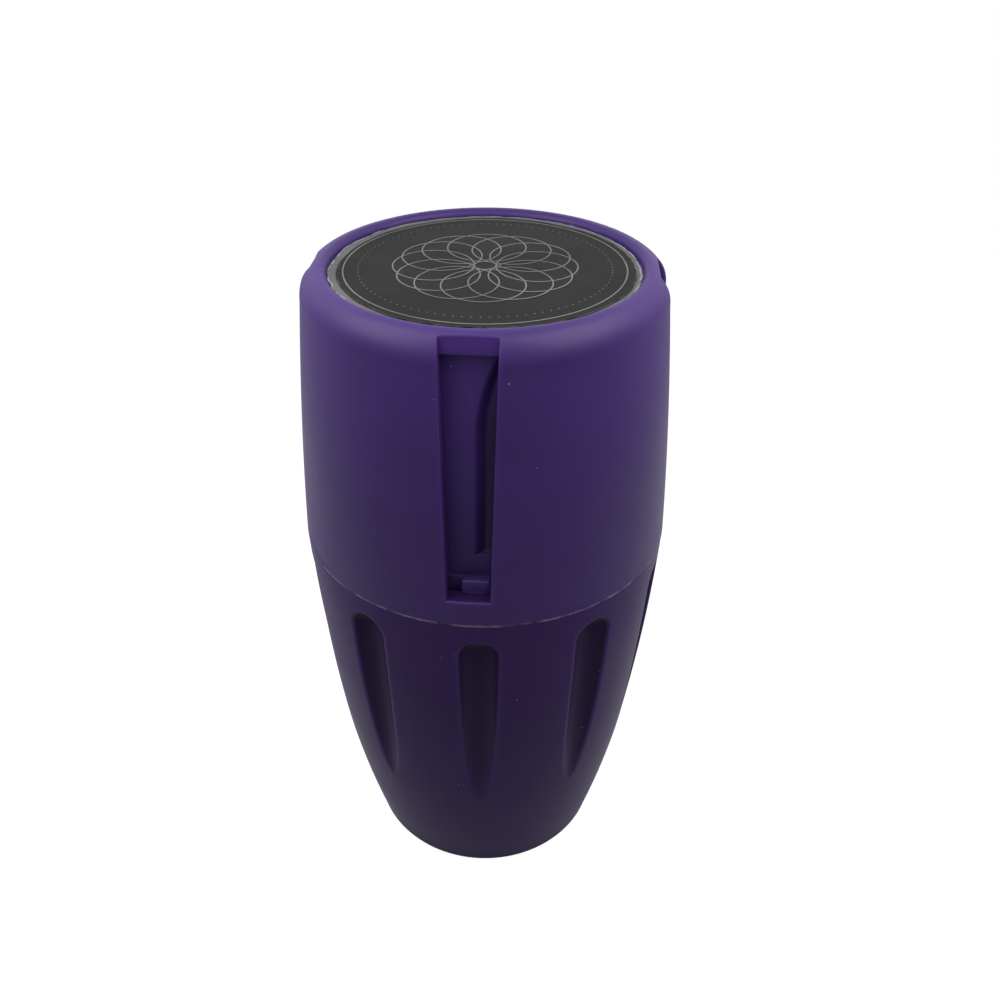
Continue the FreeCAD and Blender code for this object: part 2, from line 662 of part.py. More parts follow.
def build_shell():
    """The cap's outer shell: drafted wall, round shoulder, label recess and tapered windows."""
    body = new_body("cap_shell", True)
    inner_top = shell_shoulder_r - D["shell_wall"]
    turn_solid(body, "ShellSolid", [
        (shell_foot_r - D["shell_wall"], shell_z),
        (shell_foot_r - D["shell_edge_round"], shell_z, D["shell_edge_round"], False),
        (shell_foot_r, shell_z + D["shell_edge_round"], D["shell_curve"], False),
        (shell_shoulder_r, shell_top_z - D["shoulder_round"], D["shoulder_round"], False),
        (shell_shoulder_r - D["shoulder_round"], shell_top_z, D["rim_round"], False),
        (recess_r, shell_top_z - D["rim_round"]),
        (recess_r, recess_z),
        (ZERO, recess_z),
        (ZERO, plate_z),
        (inner_top, plate_z),
    ])
    sill = D["sill_width"] / 2
    lintel = D["lintel_width"] / 2
    cut_front(body, "Window", inner_top - D["shell_wall"], [
        (-sill, sill_z),
        (sill, sill_z),
        (lintel, lintel_z),
        (-lintel, lintel_z),
    ])
    over = shell_top_z + D["shoulder_round"]
    top = lintel + (lintel - sill) * (over - lintel_z) / (lintel_z - sill_z)
    cut_front(body, "Slot", lintel_face, [
        (-sill, sill_z),
        (sill, sill_z),
        (top, over),
        (-top, over),
    ])
    return body


def build_disc(label, radius, depth, height):
    """A thin round sheet in the cap's recess."""
    disc = doc.addObject("Part::Cylinder", label)
    disc.Label = label
    set_turn(disc, True)
    disc.setExpression("Radius", radius.text)
    disc.setExpression("Height", depth.text)
    disc.setExpression("Placement.Base.z", height.text)
    return disc


SUB_PARTS = [
    build_cup(),
    build_deck(),
    build_teeth("deck_teeth", [(deck_tooth_ring, D["deck_tooth_count"])],
                plug_z, rotor_z - D["tooth_tip_gap"], False),
    build_pivot(),
    build_ring("deck_magnet", bush_bore, magnet_r, hub_z - D["magnet_depth"], hub_z, False),
    build_seal(),
    build_ring("glide_ring", glide_r, deck_flange_r - D["glide_inset"], flange_z, glide_z, False),
    build_rotor_plate(),
    build_teeth("rotor_teeth", [(rotor_ring_inner, D["rotor_count_inner"]),
                                (rotor_ring_outer, D["rotor_count_outer"])],
                drum_floor_z, bowl_z + D["tooth_tip_gap"], True),
    build_ring("rotor_magnet", bush_r, magnet_r, rotor_hub_z, rotor_hub_z + D["magnet_depth"], True),
    build_ring("pivot_bush", bush_bore, bush_r, rotor_hub_z, drum_floor_z, True),
    build_screws(),
    build_drum(),
    build_shell(),
    build_disc("label_backing", backing_r, D["backing_depth"], recess_z),
    build_disc("label_face", label_r, D["label_depth"], recess_z + D["backing_depth"]),
]


def main():
    """Check every object of the document, then write each sub-part to its own file."""
    doc.recompute()
    for obj in doc.Objects:
        if "Invalid" in obj.State or "Error" in obj.State:
            raise RuntimeError("{} failed: {}".format(obj.Label, obj.State))
    os.makedirs("parts", exist_ok=True)
    for obj in SUB_PARTS:
        if obj.Shape.isNull() or not obj.Shape.isValid():
            raise RuntimeError(obj.Label + " has no valid shape")
        obj.Shape.exportStep("parts/{}.step".format(obj.Label))
        print(obj.Label, len(obj.Shape.Solids), "solid", round(obj.Shape.Volume, 1), "mm3")


main()
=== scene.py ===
"""Looks of the hand grinder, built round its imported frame.

A softly fluted cup, a windowed cap over a drum, the toothed mill between them and a printed disc in
the cap's top. Sizes are in millimetres, in the part's own frame; meshes are made in metres.
"""
import logging
import math
from dataclasses import dataclass, field
from enum import Enum
from typing import Sequence

import bmesh
import bpy
import numpy as np
from mathutils import Matrix, Vector


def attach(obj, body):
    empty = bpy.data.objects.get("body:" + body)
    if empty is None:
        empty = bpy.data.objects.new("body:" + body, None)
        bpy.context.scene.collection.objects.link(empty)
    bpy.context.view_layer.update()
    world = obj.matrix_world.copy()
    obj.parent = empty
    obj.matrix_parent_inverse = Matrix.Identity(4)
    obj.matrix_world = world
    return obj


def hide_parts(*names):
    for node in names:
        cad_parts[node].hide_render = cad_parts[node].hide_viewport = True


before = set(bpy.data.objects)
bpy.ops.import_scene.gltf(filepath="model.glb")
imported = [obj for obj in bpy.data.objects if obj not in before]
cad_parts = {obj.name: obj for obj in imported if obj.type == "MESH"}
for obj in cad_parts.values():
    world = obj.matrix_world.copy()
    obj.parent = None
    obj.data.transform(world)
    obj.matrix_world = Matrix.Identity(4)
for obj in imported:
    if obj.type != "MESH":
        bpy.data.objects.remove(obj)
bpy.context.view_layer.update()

MM = 0.001
WELD = 2e-6
CREASE_DEG = 38.0
CORNER_SHARE = 0.45
HALVINGS = 50
CAP_TURN = -2.8
SQUARE = math.pi / 2
MIRROR = np.array([-1.0, 1.0, 1.0])
# Mesh attributes: how pale an edge is (a painted highlight on plastic, the pale cut on a printed sheet) and
# how much painted shade a point takes.
RIM = "rim"
PAINTED_SHADE = "painted_shade"

log = logging.getLogger("grinder")

Colour = tuple[float, float, float, float]
Corner = tuple[float, float]
Span = tuple[float, float]


class Body(Enum):
    """Bodies of the frame that a piece can ride on."""

    CUP = "cup"
    DECK = "deck"
    GLIDE = "glide"
    CAP = "cap"


# ---------------------------------------------------------------------------------------------
# Node trees


def tone(red: int, green: int, blue: int) -> Colour:
    """A colour as it shows on a screen, in linear light.

    Args:
        red: red from 0 to 255.
        green: green from 0 to 255.
        blue: blue from 0 to 255.

    Returns:
        The four channels that a colour socket takes.
    """
    def linear(level: float) -> float:
        """One channel in linear light."""
        level /= 255.0
        return level / 12.92 if level <= 0.04045 else ((level + 0.055) / 1.055) ** 2.4

    return linear(red), linear(green), linear(blue), 1.0


def grey(level: int) -> Colour:
    """A neutral tone."""
    return tone(level, level, level)


class Graph:
    """Adds and links nodes in one node tree."""

    # Numbers of a Mix node's sockets when it mixes colours.
    MIX_SHARE, MIX_FIRST, MIX_SECOND, MIX_RESULT = 0, 6, 7, 2

    def __init__(self, tree: bpy.types.NodeTree) -> None:
        """Keep the tree to draw in."""
        self.tree = tree

    def node(self, kind: str, feeds: dict[str | int, object] | None = None,
             **settings: object) -> bpy.types.Node:
        """Add a node.

        Args:
            kind: the node's type name.
            feeds: sockets or constants for its inputs, by the input's name or number.
            settings: attributes to set on it.

        Returns:
            The new node.
        """
        made = self.tree.nodes.new(kind)
        for name, value in settings.items():
            setattr(made, name, value)
        for name, value in (feeds or {}).items():
            self.put(made.inputs[name], value)
        return made

    def put(self, socket: bpy.types.NodeSocket, value: object) -> None:
        """Link a socket to another, or set its constant."""
        if isinstance(value, bpy.types.NodeSocket):
            self.tree.links.new(value, socket)
        else:
            socket.default_value = value

    def math(self, operation: str, first: object, second: object = 0.0) -> bpy.types.NodeSocket:
        """The result of an operation on two values.

        Args:
            operation: the Math node's operation.
            first: a socket or a number.
            second: a socket or a number.

        Returns:
            The result's socket.
        """
        return self.node("ShaderNodeMath", {0: first, 1: second}, operation=operation).outputs[0]

    def line(self, value: object, slope: object, start: object) -> bpy.types.NodeSocket:
        """A value times a slope, plus a start."""
        return self.math("ADD", self.math("MULTIPLY", value, slope), start)

    def span(self, value: object, low: float, high: float) -> bpy.types.NodeSocket:
        """A value that rises smoothly from 0 at low to 1 at high."""
        return self.node("ShaderNodeMapRange", {"Value": value, "From Min": low, "From Max": high},
                         interpolation_type="SMOOTHSTEP").outputs["Result"]

    def mix(self, share: object, first: object, second: object) -> bpy.types.NodeSocket:
        """A colour between two others.

        Args:
            share: how much of the second, a socket or a number.
            first: a colour or its socket.
            second: a colour or its socket.

        Returns:
            The mixed colour's socket.
        """
        feeds = {self.MIX_SHARE: share, self.MIX_FIRST: first, self.MIX_SECOND: second}
        return self.node("ShaderNodeMix", feeds, data_type="RGBA").outputs[self.MIX_RESULT]

    def blend(self, share: object, first: bpy.types.Node,
              second: bpy.types.Node) -> bpy.types.Node:
        """A shader between two others."""
        return self.node("ShaderNodeMixShader", {0: share, 1: first.outputs[0], 2: second.outputs[0]})

    def noise(self, where: bpy.types.NodeSocket, scale: object,
              detail: float = 3.0) -> bpy.types.NodeSocket:
        """Cloudy noise from 0 to 1 at a place."""
        feeds = {"Vector": where, "Scale": scale, "Detail": detail}
        return self.node("ShaderNodeTexNoise", feeds).outputs["Fac"]


@dataclass(frozen=True)
class Socket:
    """One named socket of a node group."""

    name: str
    kind: str = "NodeSocketFloat"


PLACE = Socket("Place", "NodeSocketVector")
MASK = Socket("Mask")
GEOMETRY = Socket("Geometry", "NodeSocketGeometry")
MATERIAL = Socket("Material", "NodeSocketMaterial")


def new_group(name: str, kind: str, takes: Sequence[Socket], gives: Sequence[Socket]
              ) -> tuple[Graph, bpy.types.NodeOutputs, bpy.types.NodeInputs]:
    """Start a node group with its sockets.

    Args:
        name: the group's name.
        kind: the tree's type name.
        takes: its inputs.
        gives: its outputs.

    Returns:
        The graph to draw in, the sockets that bring its inputs and those that take its outputs.
    """
    tree = bpy.data.node_groups.new(name, kind)
    for sockets, way in ((takes, "INPUT"), (gives, "OUTPUT")):
        for socket in sockets:
            tree.interface.new_socket(socket.name, in_out=way, socket_type=socket.kind)
    graph = Graph(tree)
    return graph, graph.node("NodeGroupInput").outputs, graph.node("NodeGroupOutput").inputs


class Effects:
    """Shader groups that several finishes share."""

    cloud_detail: float = 2.0
    cloud_height: float = 0.4
    cloud_span: Span = (0.34, 0.66)
    speck_size: float = 0.085
    fray_scale: float = 1400.0
    fray_height: float = 1.4
    fray_span: Span = (0.0, 0.35)
    wear_scale: float = 320.0
    wear_span: Span = (0.38, 0.64)

    def __init__(self) -> None:
        """Build each group once."""
        self.skin = self.moulded_skin()
        self.specks = self.dust_and_nicks()
        self.scuff = self.seam_scuff()

    def moulded_skin(self) -> bpy.types.NodeTree:
        """Fine satin grain of a mould's wall, and the slow clouds in the plastic's colour."""
        graph, takes, gives = new_group(
            "Moulded skin", "ShaderNodeTree", [PLACE, Socket("Grain"), Socket("Cloud")],
            [Socket("Height"), Socket("Clouds")])
        fine = graph.noise(takes["Place"], takes["Grain"])
        broad = graph.noise(takes["Place"], takes["Cloud"], self.cloud_detail)
        graph.put(gives["Height"], graph.line(broad, self.cloud_height, fine))
        graph.put(gives["Clouds"], graph.span(broad, *self.cloud_span))
        return graph.tree

    def dust_and_nicks(self) -> bpy.types.NodeTree:
        """Sparse pale specks of dust and small nicks."""
        graph, takes, gives = new_group(
            "Dust and nicks", "ShaderNodeTree", [PLACE, Socket("Cells"), Socket("Share")], [MASK])
        cells = graph.node("ShaderNodeTexVoronoi", {"Vector": takes["Place"], "Scale": takes["Cells"]})
        pick = graph.node("ShaderNodeSeparateColor", {0: cells.outputs["Color"]}).outputs
        chosen = graph.math("LESS_THAN", pick[0], takes["Share"])
        size = graph.math("MULTIPLY", pick[1], self.speck_size)
        near = graph.math("LESS_THAN", cells.outputs["Distance"], size)
        graph.put(gives["Mask"], graph.math("MULTIPLY", chosen, near))
        return graph.tree

    def seam_scuff(self) -> bpy.types.NodeTree:
        """Broken pale scuffing along a turned seam at a height, outside a radius."""
        graph, takes, gives = new_group(
            "Seam scuff", "ShaderNodeTree",
            [PLACE, Socket("Height"), Socket("Reach"), Socket("Edge")], [MASK])
        split = graph.node("ShaderNodeSeparateXYZ", {0: takes["Place"]}).outputs
        away = graph.math("ABSOLUTE", graph.math("SUBTRACT", split["Z"], takes["Height"]))
        frayed = graph.math("MULTIPLY", graph.noise(takes["Place"], self.fray_scale), self.fray_height)
        band = graph.math("SUBTRACT", frayed, graph.math("DIVIDE", away, takes["Reach"]))
        patches = graph.span(graph.noise(takes["Place"], self.wear_scale), *self.wear_span)
        flat = graph.node("ShaderNodeCombineXYZ", {"X": split["X"], "Y": split["Y"]})
        out = graph.node("ShaderNodeVectorMath", {0: flat.outputs[0]}, operation="LENGTH")
        edge = graph.math("GREATER_THAN", out.outputs["Value"], takes["Edge"])
        edge_light = graph.math("MULTIPLY", graph.span(band, *self.fray_span), patches)
        graph.put(gives["Mask"], graph.math("MULTIPLY", edge_light, edge))
        return graph.tree


# ---------------------------------------------------------------------------------------------
# Finishes


class Draft:
    """A material in the making: its shader, the object's own coordinates and the shared effects."""

    def __init__(self, name: str, effects: Effects) -> None:
        """Start the material."""
        self.material = bpy.data.materials.new(name)
        self.material.use_nodes = True
        self.graph = Graph(self.material.node_tree)
        self.shader = self.material.node_tree.nodes["Principled BSDF"].inputs
        self.where = self.graph.node("ShaderNodeTexCoord").outputs["Object"]
        self.effects = effects

    def effect(self, tree: bpy.types.NodeTree, **feeds: object) -> bpy.types.NodeOutputs:
        """A shared group's outputs at the object's own coordinates."""
        return self.graph.node("ShaderNodeGroup", {"Place": self.where, **feeds}, node_tree=tree).outputs

    def skin(self, grain: float, cloud: float) -> bpy.types.NodeOutputs:
        """The moulded skin's height and clouds, at the scales of its grain and its clouds."""
        return self.effect(self.effects.skin, Grain=grain, Cloud=cloud)

    def attribute(self, name: str) -> bpy.types.NodeSocket:
        """One of the mesh's own attributes."""
        return self.graph.node("ShaderNodeAttribute", attribute_name=name).outputs["Fac"]

    def dusted(self, colour: bpy.types.NodeSocket, cells: float, share: float, dust: Colour,
               strength: float) -> bpy.types.NodeSocket:
        """A colour with specks on it.

        Args:
            colour: the clean colour.
            cells: scale of the cells that may hold a speck.
            share: share of the cells that do.
            dust: the specks' colour.
            strength: how far they cover.

        Returns:
            The dusty colour's socket.
        """
        mask = self.effect(self.effects.specks, Cells=cells, Share=share)["Mask"]
        return self.graph.mix(self.graph.math("MULTIPLY", mask, strength), colour, dust)

    def done(self, colour: bpy.types.NodeSocket, roughness: bpy.types.NodeSocket,
             height: bpy.types.NodeSocket, bump: float, bump_mm: float) -> bpy.types.Material:
        """Connect the shader.

        Args:
            colour: the surface's colour.
            roughness: its roughness.
            height: its fine relief.
            bump: how strongly the relief shows.
            bump_mm: how deep it is.

        Returns:
            The finished material.
        """
        relief = self.graph.node("ShaderNodeBump", {
            "Strength": bump, "Distance": bump_mm * MM, "Height": height})
        for name, value in (("Base Color", colour), ("Roughness", roughness),
                            ("Normal", relief.outputs["Normal"])):
            self.graph.put(self.shader[name], value)
        return self.material


@dataclass(frozen=True)
class MouldedPlastic:
    """Satin moulded plastic with paler, purer edges of painted highlight, painted shade where the mesh asks
    for it, seam scuffs and specks.
    """

    name: str
    body: Colour
    deep: Colour
    # The rim colour is a painted highlight on edges; the colour after it is painted shade.
    rim: Colour
    painted_shade: Colour
    gloss: float
    roughness: float
    seam_mm: float = 0.0
    seam_reach: float = 0.16
    seam_edge: float = 30.0
    scuff: Colour = tone(166, 150, 172)
    scuff_share: float = 0.75
    scuff_rough: float = 0.2
    grain: float = 2600.0
    cloud: float = 55.0
    cloud_rough: float = 0.05
    cells: float = 520.0
    specks: float = 0.11
    dust: Colour = tone(150, 140, 165)
    dust_share: float = 0.6
    bump: float = 0.22
    bump_mm: float = 0.03

    def material(self, effects: Effects) -> bpy.types.Material:
        """Build the material.

        Args:
            effects: the shared groups.

        Returns:
            The new material.
        """
        draft = Draft(self.name, effects)
        graph, skin = draft.graph, draft.skin(self.grain, self.cloud)
        scuff = draft.effect(effects.scuff, Height=self.seam_mm * MM, Reach=self.seam_reach * MM,
                             Edge=self.seam_edge * MM)["Mask"]
        colour = graph.mix(skin["Clouds"], self.deep, self.body)
        # Painted shade where the mesh asks for it, then painted highlight on edges.
        colour = graph.mix(draft.attribute(PAINTED_SHADE), colour, self.painted_shade)
        colour = graph.mix(draft.attribute(RIM), colour, self.rim)
        colour = graph.mix(graph.math("MULTIPLY", scuff, self.scuff_share), colour, self.scuff)
        colour = draft.dusted(colour, self.cells, self.specks, self.dust, self.dust_share)
        clouded = graph.math("MULTIPLY", skin["Clouds"], self.cloud_rough)
        rough = graph.math("ADD", graph.line(scuff, self.scuff_rough, clouded), self.roughness)
        graph.put(draft.shader["Specular IOR Level"], self.gloss)
        return draft.done(colour, rough, skin["Height"], self.bump, self.bump_mm)


@dataclass(frozen=True)
class TurnedMetal:
    """Turned or drawn metal with fine rings across its axis."""

    name: str
    colour: Colour
    roughness: float
    rings: float
    squeeze: tuple[float, float, float] = (0.06, 0.06, 1.0)
    mark_span: Span = (0.3, 0.7)
    mark_shade: float = 0.78
    mark_rough: float = 0.16
    cells: float = 800.0
    specks: float = 0.1
    dust: Colour = tone(90, 88, 84)
    dust_share: float = 0.4
    bump: float = 0.12
    bump_mm: float = 0.02

    def material(self, effects: Effects) -> bpy.types.Material:
        """Build the material, with its drawing marks in colour, roughness and bump."""
        draft = Draft(self.name, effects)
        graph = draft.graph
        place = graph.node("ShaderNodeMapping", {"Vector": draft.where, "Scale": self.squeeze})
        marks = graph.noise(place.outputs["Vector"], self.rings)
        dark = tuple(level * self.mark_shade for level in self.colour[:3]) + (1.0,)
        colour = graph.mix(graph.span(marks, *self.mark_span), dark, self.colour)
        colour = draft.dusted(colour, self.cells, self.specks, self.dust, self.dust_share)
        graph.put(draft.shader["Metallic"], 1.0)
        return draft.done(colour, graph.line(marks, self.mark_rough, self.roughness), marks,
                          self.bump, self.bump_mm)


@dataclass(frozen=True)
class SoftCompound:
    """Plain rubber or slippery plastic: one colour, clouded and finely grained."""

    name: str
    colour: Colour
    shade: Colour
    roughness: float
    grain: float = 2200.0
    cloud: float = 160.0
    cloud_rough: float = 0.08
    bump: float = 0.2
    bump_mm: float = 0.03

    def material(self, effects: Effects) -> bpy.types.Material:
        """Build the material."""
        draft = Draft(self.name, effects)
        skin = draft.skin(self.grain, self.cloud)
        colour = draft.graph.mix(skin["Clouds"], self.shade, self.colour)
        return draft.done(colour, draft.graph.line(skin["Clouds"], self.cloud_rough, self.roughness),
                          skin["Height"], self.bump, self.bump_mm)


@dataclass(frozen=True)
class PrintedSheet:
    """Satin printed film or bare sheet, with paper fibre, handling marks and a torn edge."""

    name: str
    colour: Colour
    faded: Colour
    cut: Colour
    roughness: float
    gloss: float = 0.05
    grain: float = 3600.0
    cloud: float = 95.0
    cloud_rough: float = 0.1
    tear_scale: float = 520.0
    tear_span: Span = (0.36, 0.6)
    cells: float = 700.0
    specks: float = 0.08
    dust: Colour = grey(150)
    dust_share: float = 0.3
    bump: float = 0.15
    bump_mm: float = 0.02

    def material(self, effects: Effects) -> bpy.types.Material:
        """Build the material."""
        draft = Draft(self.name, effects)
        graph, skin = draft.graph, draft.skin(self.grain, self.cloud)
        torn = graph.span(graph.noise(draft.where, self.tear_scale), *self.tear_span)
        colour = graph.mix(skin["Clouds"], self.colour, self.faded)
        colour = graph.mix(graph.math("MULTIPLY", draft.attribute(RIM), torn), colour, self.cut)
        colour = draft.dusted(colour, self.cells, self.specks, self.dust, self.dust_share)
        graph.put(draft.shader["Specular IOR Level"], self.gloss)
        return draft.done(colour, graph.line(skin["Clouds"], self.cloud_rough, self.roughness),
                          skin["Height"], self.bump, self.bump_mm)


class Finishes:
    """Every material of the object, built once."""

    def __init__(self, effects: Effects) -> None:
        """Build the materials from their finishes."""
        # In each plastic the rim colour is a painted highlight on rounded edges, and the colour after it is
        # painted shade in flutes, on window sills and on the drum.
        self.cap = MouldedPlastic(
            "Cap plastic", body=tone(58, 34, 100), deep=tone(54, 31, 94), rim=tone(74, 45, 123),
            painted_shade=tone(38, 23, 66), gloss=0.28, roughness=0.42, seam_mm=68.5).material(effects)
        self.cup = MouldedPlastic(
            "Cup plastic", body=tone(71, 50, 107), deep=tone(67, 47, 102), rim=tone(84, 58, 126),
            painted_shade=tone(52, 38, 77), gloss=0.05, roughness=0.36, seam_mm=68.3).material(effects)
        # The drum's purple is paler than the cap's: painted light that brightens the drum where it shows
        # through the windows.
        self.drum = MouldedPlastic(
            "Drum plastic", body=tone(81, 57, 134), deep=tone(77, 54, 128), rim=tone(88, 63, 140),
            painted_shade=tone(40, 28, 69), gloss=0.24, roughness=0.46).material(effects)
        self.mill = MouldedPlastic(
            "Mill plastic", body=tone(54, 35, 90), deep=tone(50, 32, 84), rim=tone(68, 46, 104),
            painted_shade=tone(54, 35, 90), gloss=0.2, roughness=0.42).material(effects)
        self.steel = TurnedMetal(
            "Drawn steel", tone(190, 190, 192), roughness=0.24, rings=2400.0).material(effects)
        self.magnet = TurnedMetal(
            "Nickel plate", tone(205, 203, 198), roughness=0.12, rings=1500.0).material(effects)
        self.rubber = SoftCompound(
            "Black rubber", tone(34, 33, 33), shade=grey(24), roughness=0.62).material(effects)
        self.slip = SoftCompound(
            "Slip plastic", tone(226, 225, 220), shade=tone(214, 212, 205),
            roughness=0.34).material(effects)
        self.print_black = PrintedSheet(
            "Black print", grey(29), faded=grey(32), cut=grey(62), roughness=0.46).material(effects)
        self.print_pale = PrintedSheet(
            "Pale print", tone(112, 114, 110), faded=tone(98, 100, 96), cut=tone(112, 114, 110),
            roughness=0.5).material(effects)
        self.backing = PrintedSheet(
            "Bare backing", tone(98, 99, 98), faded=tone(88, 89, 88), cut=tone(150, 151, 150),
            roughness=0.55).material(effects)


# ---------------------------------------------------------------------------------------------
# Points and meshes


def points_at(across: object, into: object, height: object) -> np.ndarray:
    """Points from their X, Y and Z, each one value or an array."""
    return np.stack(np.broadcast_arrays(across, into, height), axis=-1)


def polar(radius: object, angle: object, height: object) -> np.ndarray:
    """Points from radii, angles round Z, from -Y towards +X, and heights."""
    return points_at(radius * np.sin(angle), -radius * np.cos(angle), height)


def angles_of(points: np.ndarray) -> np.ndarray:
    """Angles of points round Z, from -Y towards +X."""
    return np.arctan2(points[:, 0], -points[:, 1])


def full_turn(count: int) -> np.ndarray:
    """Angles once round."""
    return np.linspace(0, math.tau, count + 1)[:-1]


def turned(profile: Sequence[Corner], angles: np.ndarray) -> np.ndarray:
    """Points of a profile of (radius, height) at angles round Z."""
    corners = np.array(profile)[:, None, :]
    return polar(corners[..., 0], angles, corners[..., 1])


def softened(corners: Sequence[Corner], radius: float, steps: int = 3,
             closed: bool = True) -> list[Corner]:
    """Round the corners of a profile.

    Args:
        corners: its corners in order.
        radius: how far from a corner its rounding starts, at most.
        steps: points in a rounding, less one.
        closed: join the last corner to the first; the ends of an open profile stay.

    Returns:
        The rounded profile.
    """
    points = np.array(corners, float)
    made: list[Corner] = []
    for index, point in enumerate(points):
        if not closed and index in (0, len(points) - 1):
            made.append(tuple(point))
            continue
        before, after = points[index - 1] - point, points[(index + 1) % len(points)] - point
        sides = np.linalg.norm(before), np.linalg.norm(after)
        reach = min(radius, CORNER_SHARE * sides[0], CORNER_SHARE * sides[1])
        first, last = point + before / sides[0] * reach, point + after / sides[1] * reach
        made += [tuple(place) for place in rounded_edge(first, point, last, steps)[:, 0, :]]
    return made


def rounded_edge(inner: np.ndarray, edge: np.ndarray, outer: np.ndarray, steps: int) -> np.ndarray:
    """Rings of points that round an edge between two rings beside it, both included."""
    share = np.linspace(0, 1, steps + 1)[:, None, None]
    return (1 - share) ** 2 * inner + 2 * share * (1 - share) * edge + share ** 2 * outer


def ring_shares(rings: int, bias: float = 1.0) -> np.ndarray:
    """Shares from 0 to 1 for rings of points, closer together at first if biased."""
    return np.linspace(0, 1, rings + 1)[:, None] ** bias


def around(right: np.ndarray, over: np.ndarray, under: np.ndarray, flip: object) -> np.ndarray:
    """Join the runs of a loop: up its right side, over its head, down its left side, along its foot.

    Args:
        right: values up the right side.
        over: values along the head from right to left, with both corners.
        under: values along the foot in the same way.
        flip: what turns the right side's values into the left side's.

    Returns:
        The loop's values, each corner once.
    """
    return np.concatenate([right, over[1:-1], (right * flip)[::-1], under[::-1][1:-1]])


def border(half: float, rows: np.ndarray, over: int, under: int) -> tuple[np.ndarray, np.ndarray]:
    """The loop round a sector.

    Args:
        half: half of the sector's angle.
        rows: levels up its side.
        over: points along its head.
        under: points along its foot.

    Returns:
        The loop's angles and levels.
    """
    angle = around(np.full(len(rows), half), np.linspace(half, -half, over),
                   np.linspace(-half, half, under)[::-1], -1.0)
    return angle, around(rows, np.full(over, rows[-1]), np.full(under, rows[0]), 1.0)


@dataclass(frozen=True)
class BowedSide:
    """A profile's side that bows outwards between two (radius, height) points."""

    foot: Corner
    head: Corner
    bow: float

    def radius(self, height: np.ndarray) -> np.ndarray:
        """The side's radius at heights."""
        foot, head = np.array(self.foot), np.array(self.head)
        chord = head - foot
        length = np.linalg.norm(chord)
        out = np.array([chord[1], -chord[0]]) / length
        middle = (foot + head) / 2 - out * math.sqrt(self.bow ** 2 - length ** 2 / 4)
        return middle[0] + np.sqrt(self.bow ** 2 - (np.asarray(height) - middle[1]) ** 2)


class Skin:
    """Patches of points in millimetres, sewn into one mesh."""

    def __init__(self) -> None:
        """Start with no patches."""
        self.points: list[np.ndarray] = []
        self.rims: list[np.ndarray] = []
        self.painted_shades: list[np.ndarray] = []
        self.faces: list[tuple[int, int, int, int]] = []
        self.count = 0

    def patch(self, grid: np.ndarray, rim: object = 0.0, closed: bool = False,
              painted_shade: object = 0.0) -> None:
        """Add a grid of points as a sheet of quads.

        Args:
            grid: points by row and column.
            rim: how pale an edge each point is, a painted highlight on plastic and the pale cut on a sheet;
                one value or one for each point.
            closed: join the last column to the first.
            painted_shade: how much painted shade each point takes, in the same way.
        """
        rows, columns = grid.shape[:2]
        self.points.append(grid.reshape(-1, 3))
        for shares, share in ((self.rims, rim), (self.painted_shades, painted_shade)):
            shares.append(np.broadcast_to(np.asarray(share, float), (rows, columns)).reshape(-1))
        last = columns if closed else columns - 1
        for row in range(rows - 1):
            low = self.count + row * columns
            high = low + columns
            for column in range(last):
                after = (column + 1) % columns
                self.faces.append((low + column, low + after, high + after, high + column))
        self.count += rows * columns

    def mesh(self, name: str) -> bpy.types.Mesh:
        """Sew the patches together where their points meet.

        Args:
            name: the mesh's name.

        Returns:
            The mesh, in metres, with its rim attribute of pale edges and its attribute of painted shade.
        """
        made = bpy.data.meshes.new(name)
        made.from_pydata((np.concatenate(self.points) * MM).tolist(), [], self.faces)
        for attribute, shares in ((RIM, self.rims), (PAINTED_SHADE, self.painted_shades)):
            made.attributes.new(attribute, "FLOAT", "POINT").data.foreach_set(
                "value", np.concatenate(shares).astype(np.float32))
        return sewn(made)

    def piece(self, name: str, material: bpy.types.Material) -> bpy.types.Object:
        """Close the skin into a finished piece.

        Args:
            name: the piece's name.
            material: its finish.

        Returns:
            The piece, shaded and turned outwards.
        """
        mesh = sewn(self.mesh(name), turn_out=True)
        shaded(mesh)
        return new_object(name, mesh, material)


def sewn(mesh: bpy.types.Mesh, turn_out: bool = False) -> bpy.types.Mesh:
    """Merge doubled points and drop empty faces, and turn a closed skin's faces outwards if asked."""
    work = bmesh.new()
    work.from_mesh(mesh)
    bmesh.ops.remove_doubles(work, verts=work.verts, dist=WELD)
    bmesh.ops.dissolve_degenerate(work, edges=work.edges, dist=WELD / 4)
    if turn_out:
        bmesh.ops.recalc_face_normals(work, faces=work.faces)
    work.to_mesh(mesh)
    work.free()
    return mesh


def shaded(mesh: bpy.types.Mesh) -> None:
    """Shade a mesh smooth between its creases."""
    mesh.shade_smooth()
    mesh.set_sharp_from_angle(angle=math.radians(CREASE_DEG))


def new_object(name: str, mesh: bpy.types.Mesh,
               material: bpy.types.Material | None = None) -> bpy.types.Object:
    """Put a mesh in the scene, with its material."""
    made = bpy.data.objects.new(name, mesh)
    bpy.context.scene.collection.objects.link(made)
    if material is not None:
        mesh.materials.clear()
        mesh.materials.append(material)
    return made


def copied(node: str, material: bpy.types.Material, name: str) -> bpy.types.Object:
    """A copy of one of the frame's nodes, sewn together, that keeps the node's own exact shading."""
    return new_object(name, sewn(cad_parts[node].data.copy()), material)


def joined(pieces: list[bpy.types.Object], name: str) -> bpy.types.Object:
    """Several pieces made one."""
    work = bmesh.new()
    for piece in pieces:
        work.from_mesh(piece.data)
    mesh = pieces[0].data.copy()
    work.to_mesh(mesh)
    work.free()
    for piece in pieces:
        bpy.data.objects.remove(piece)
    shaded(mesh)
    mesh.name = name
    return new_object(name, mesh)


# ---------------------------------------------------------------------------------------------
# Geometry node trees


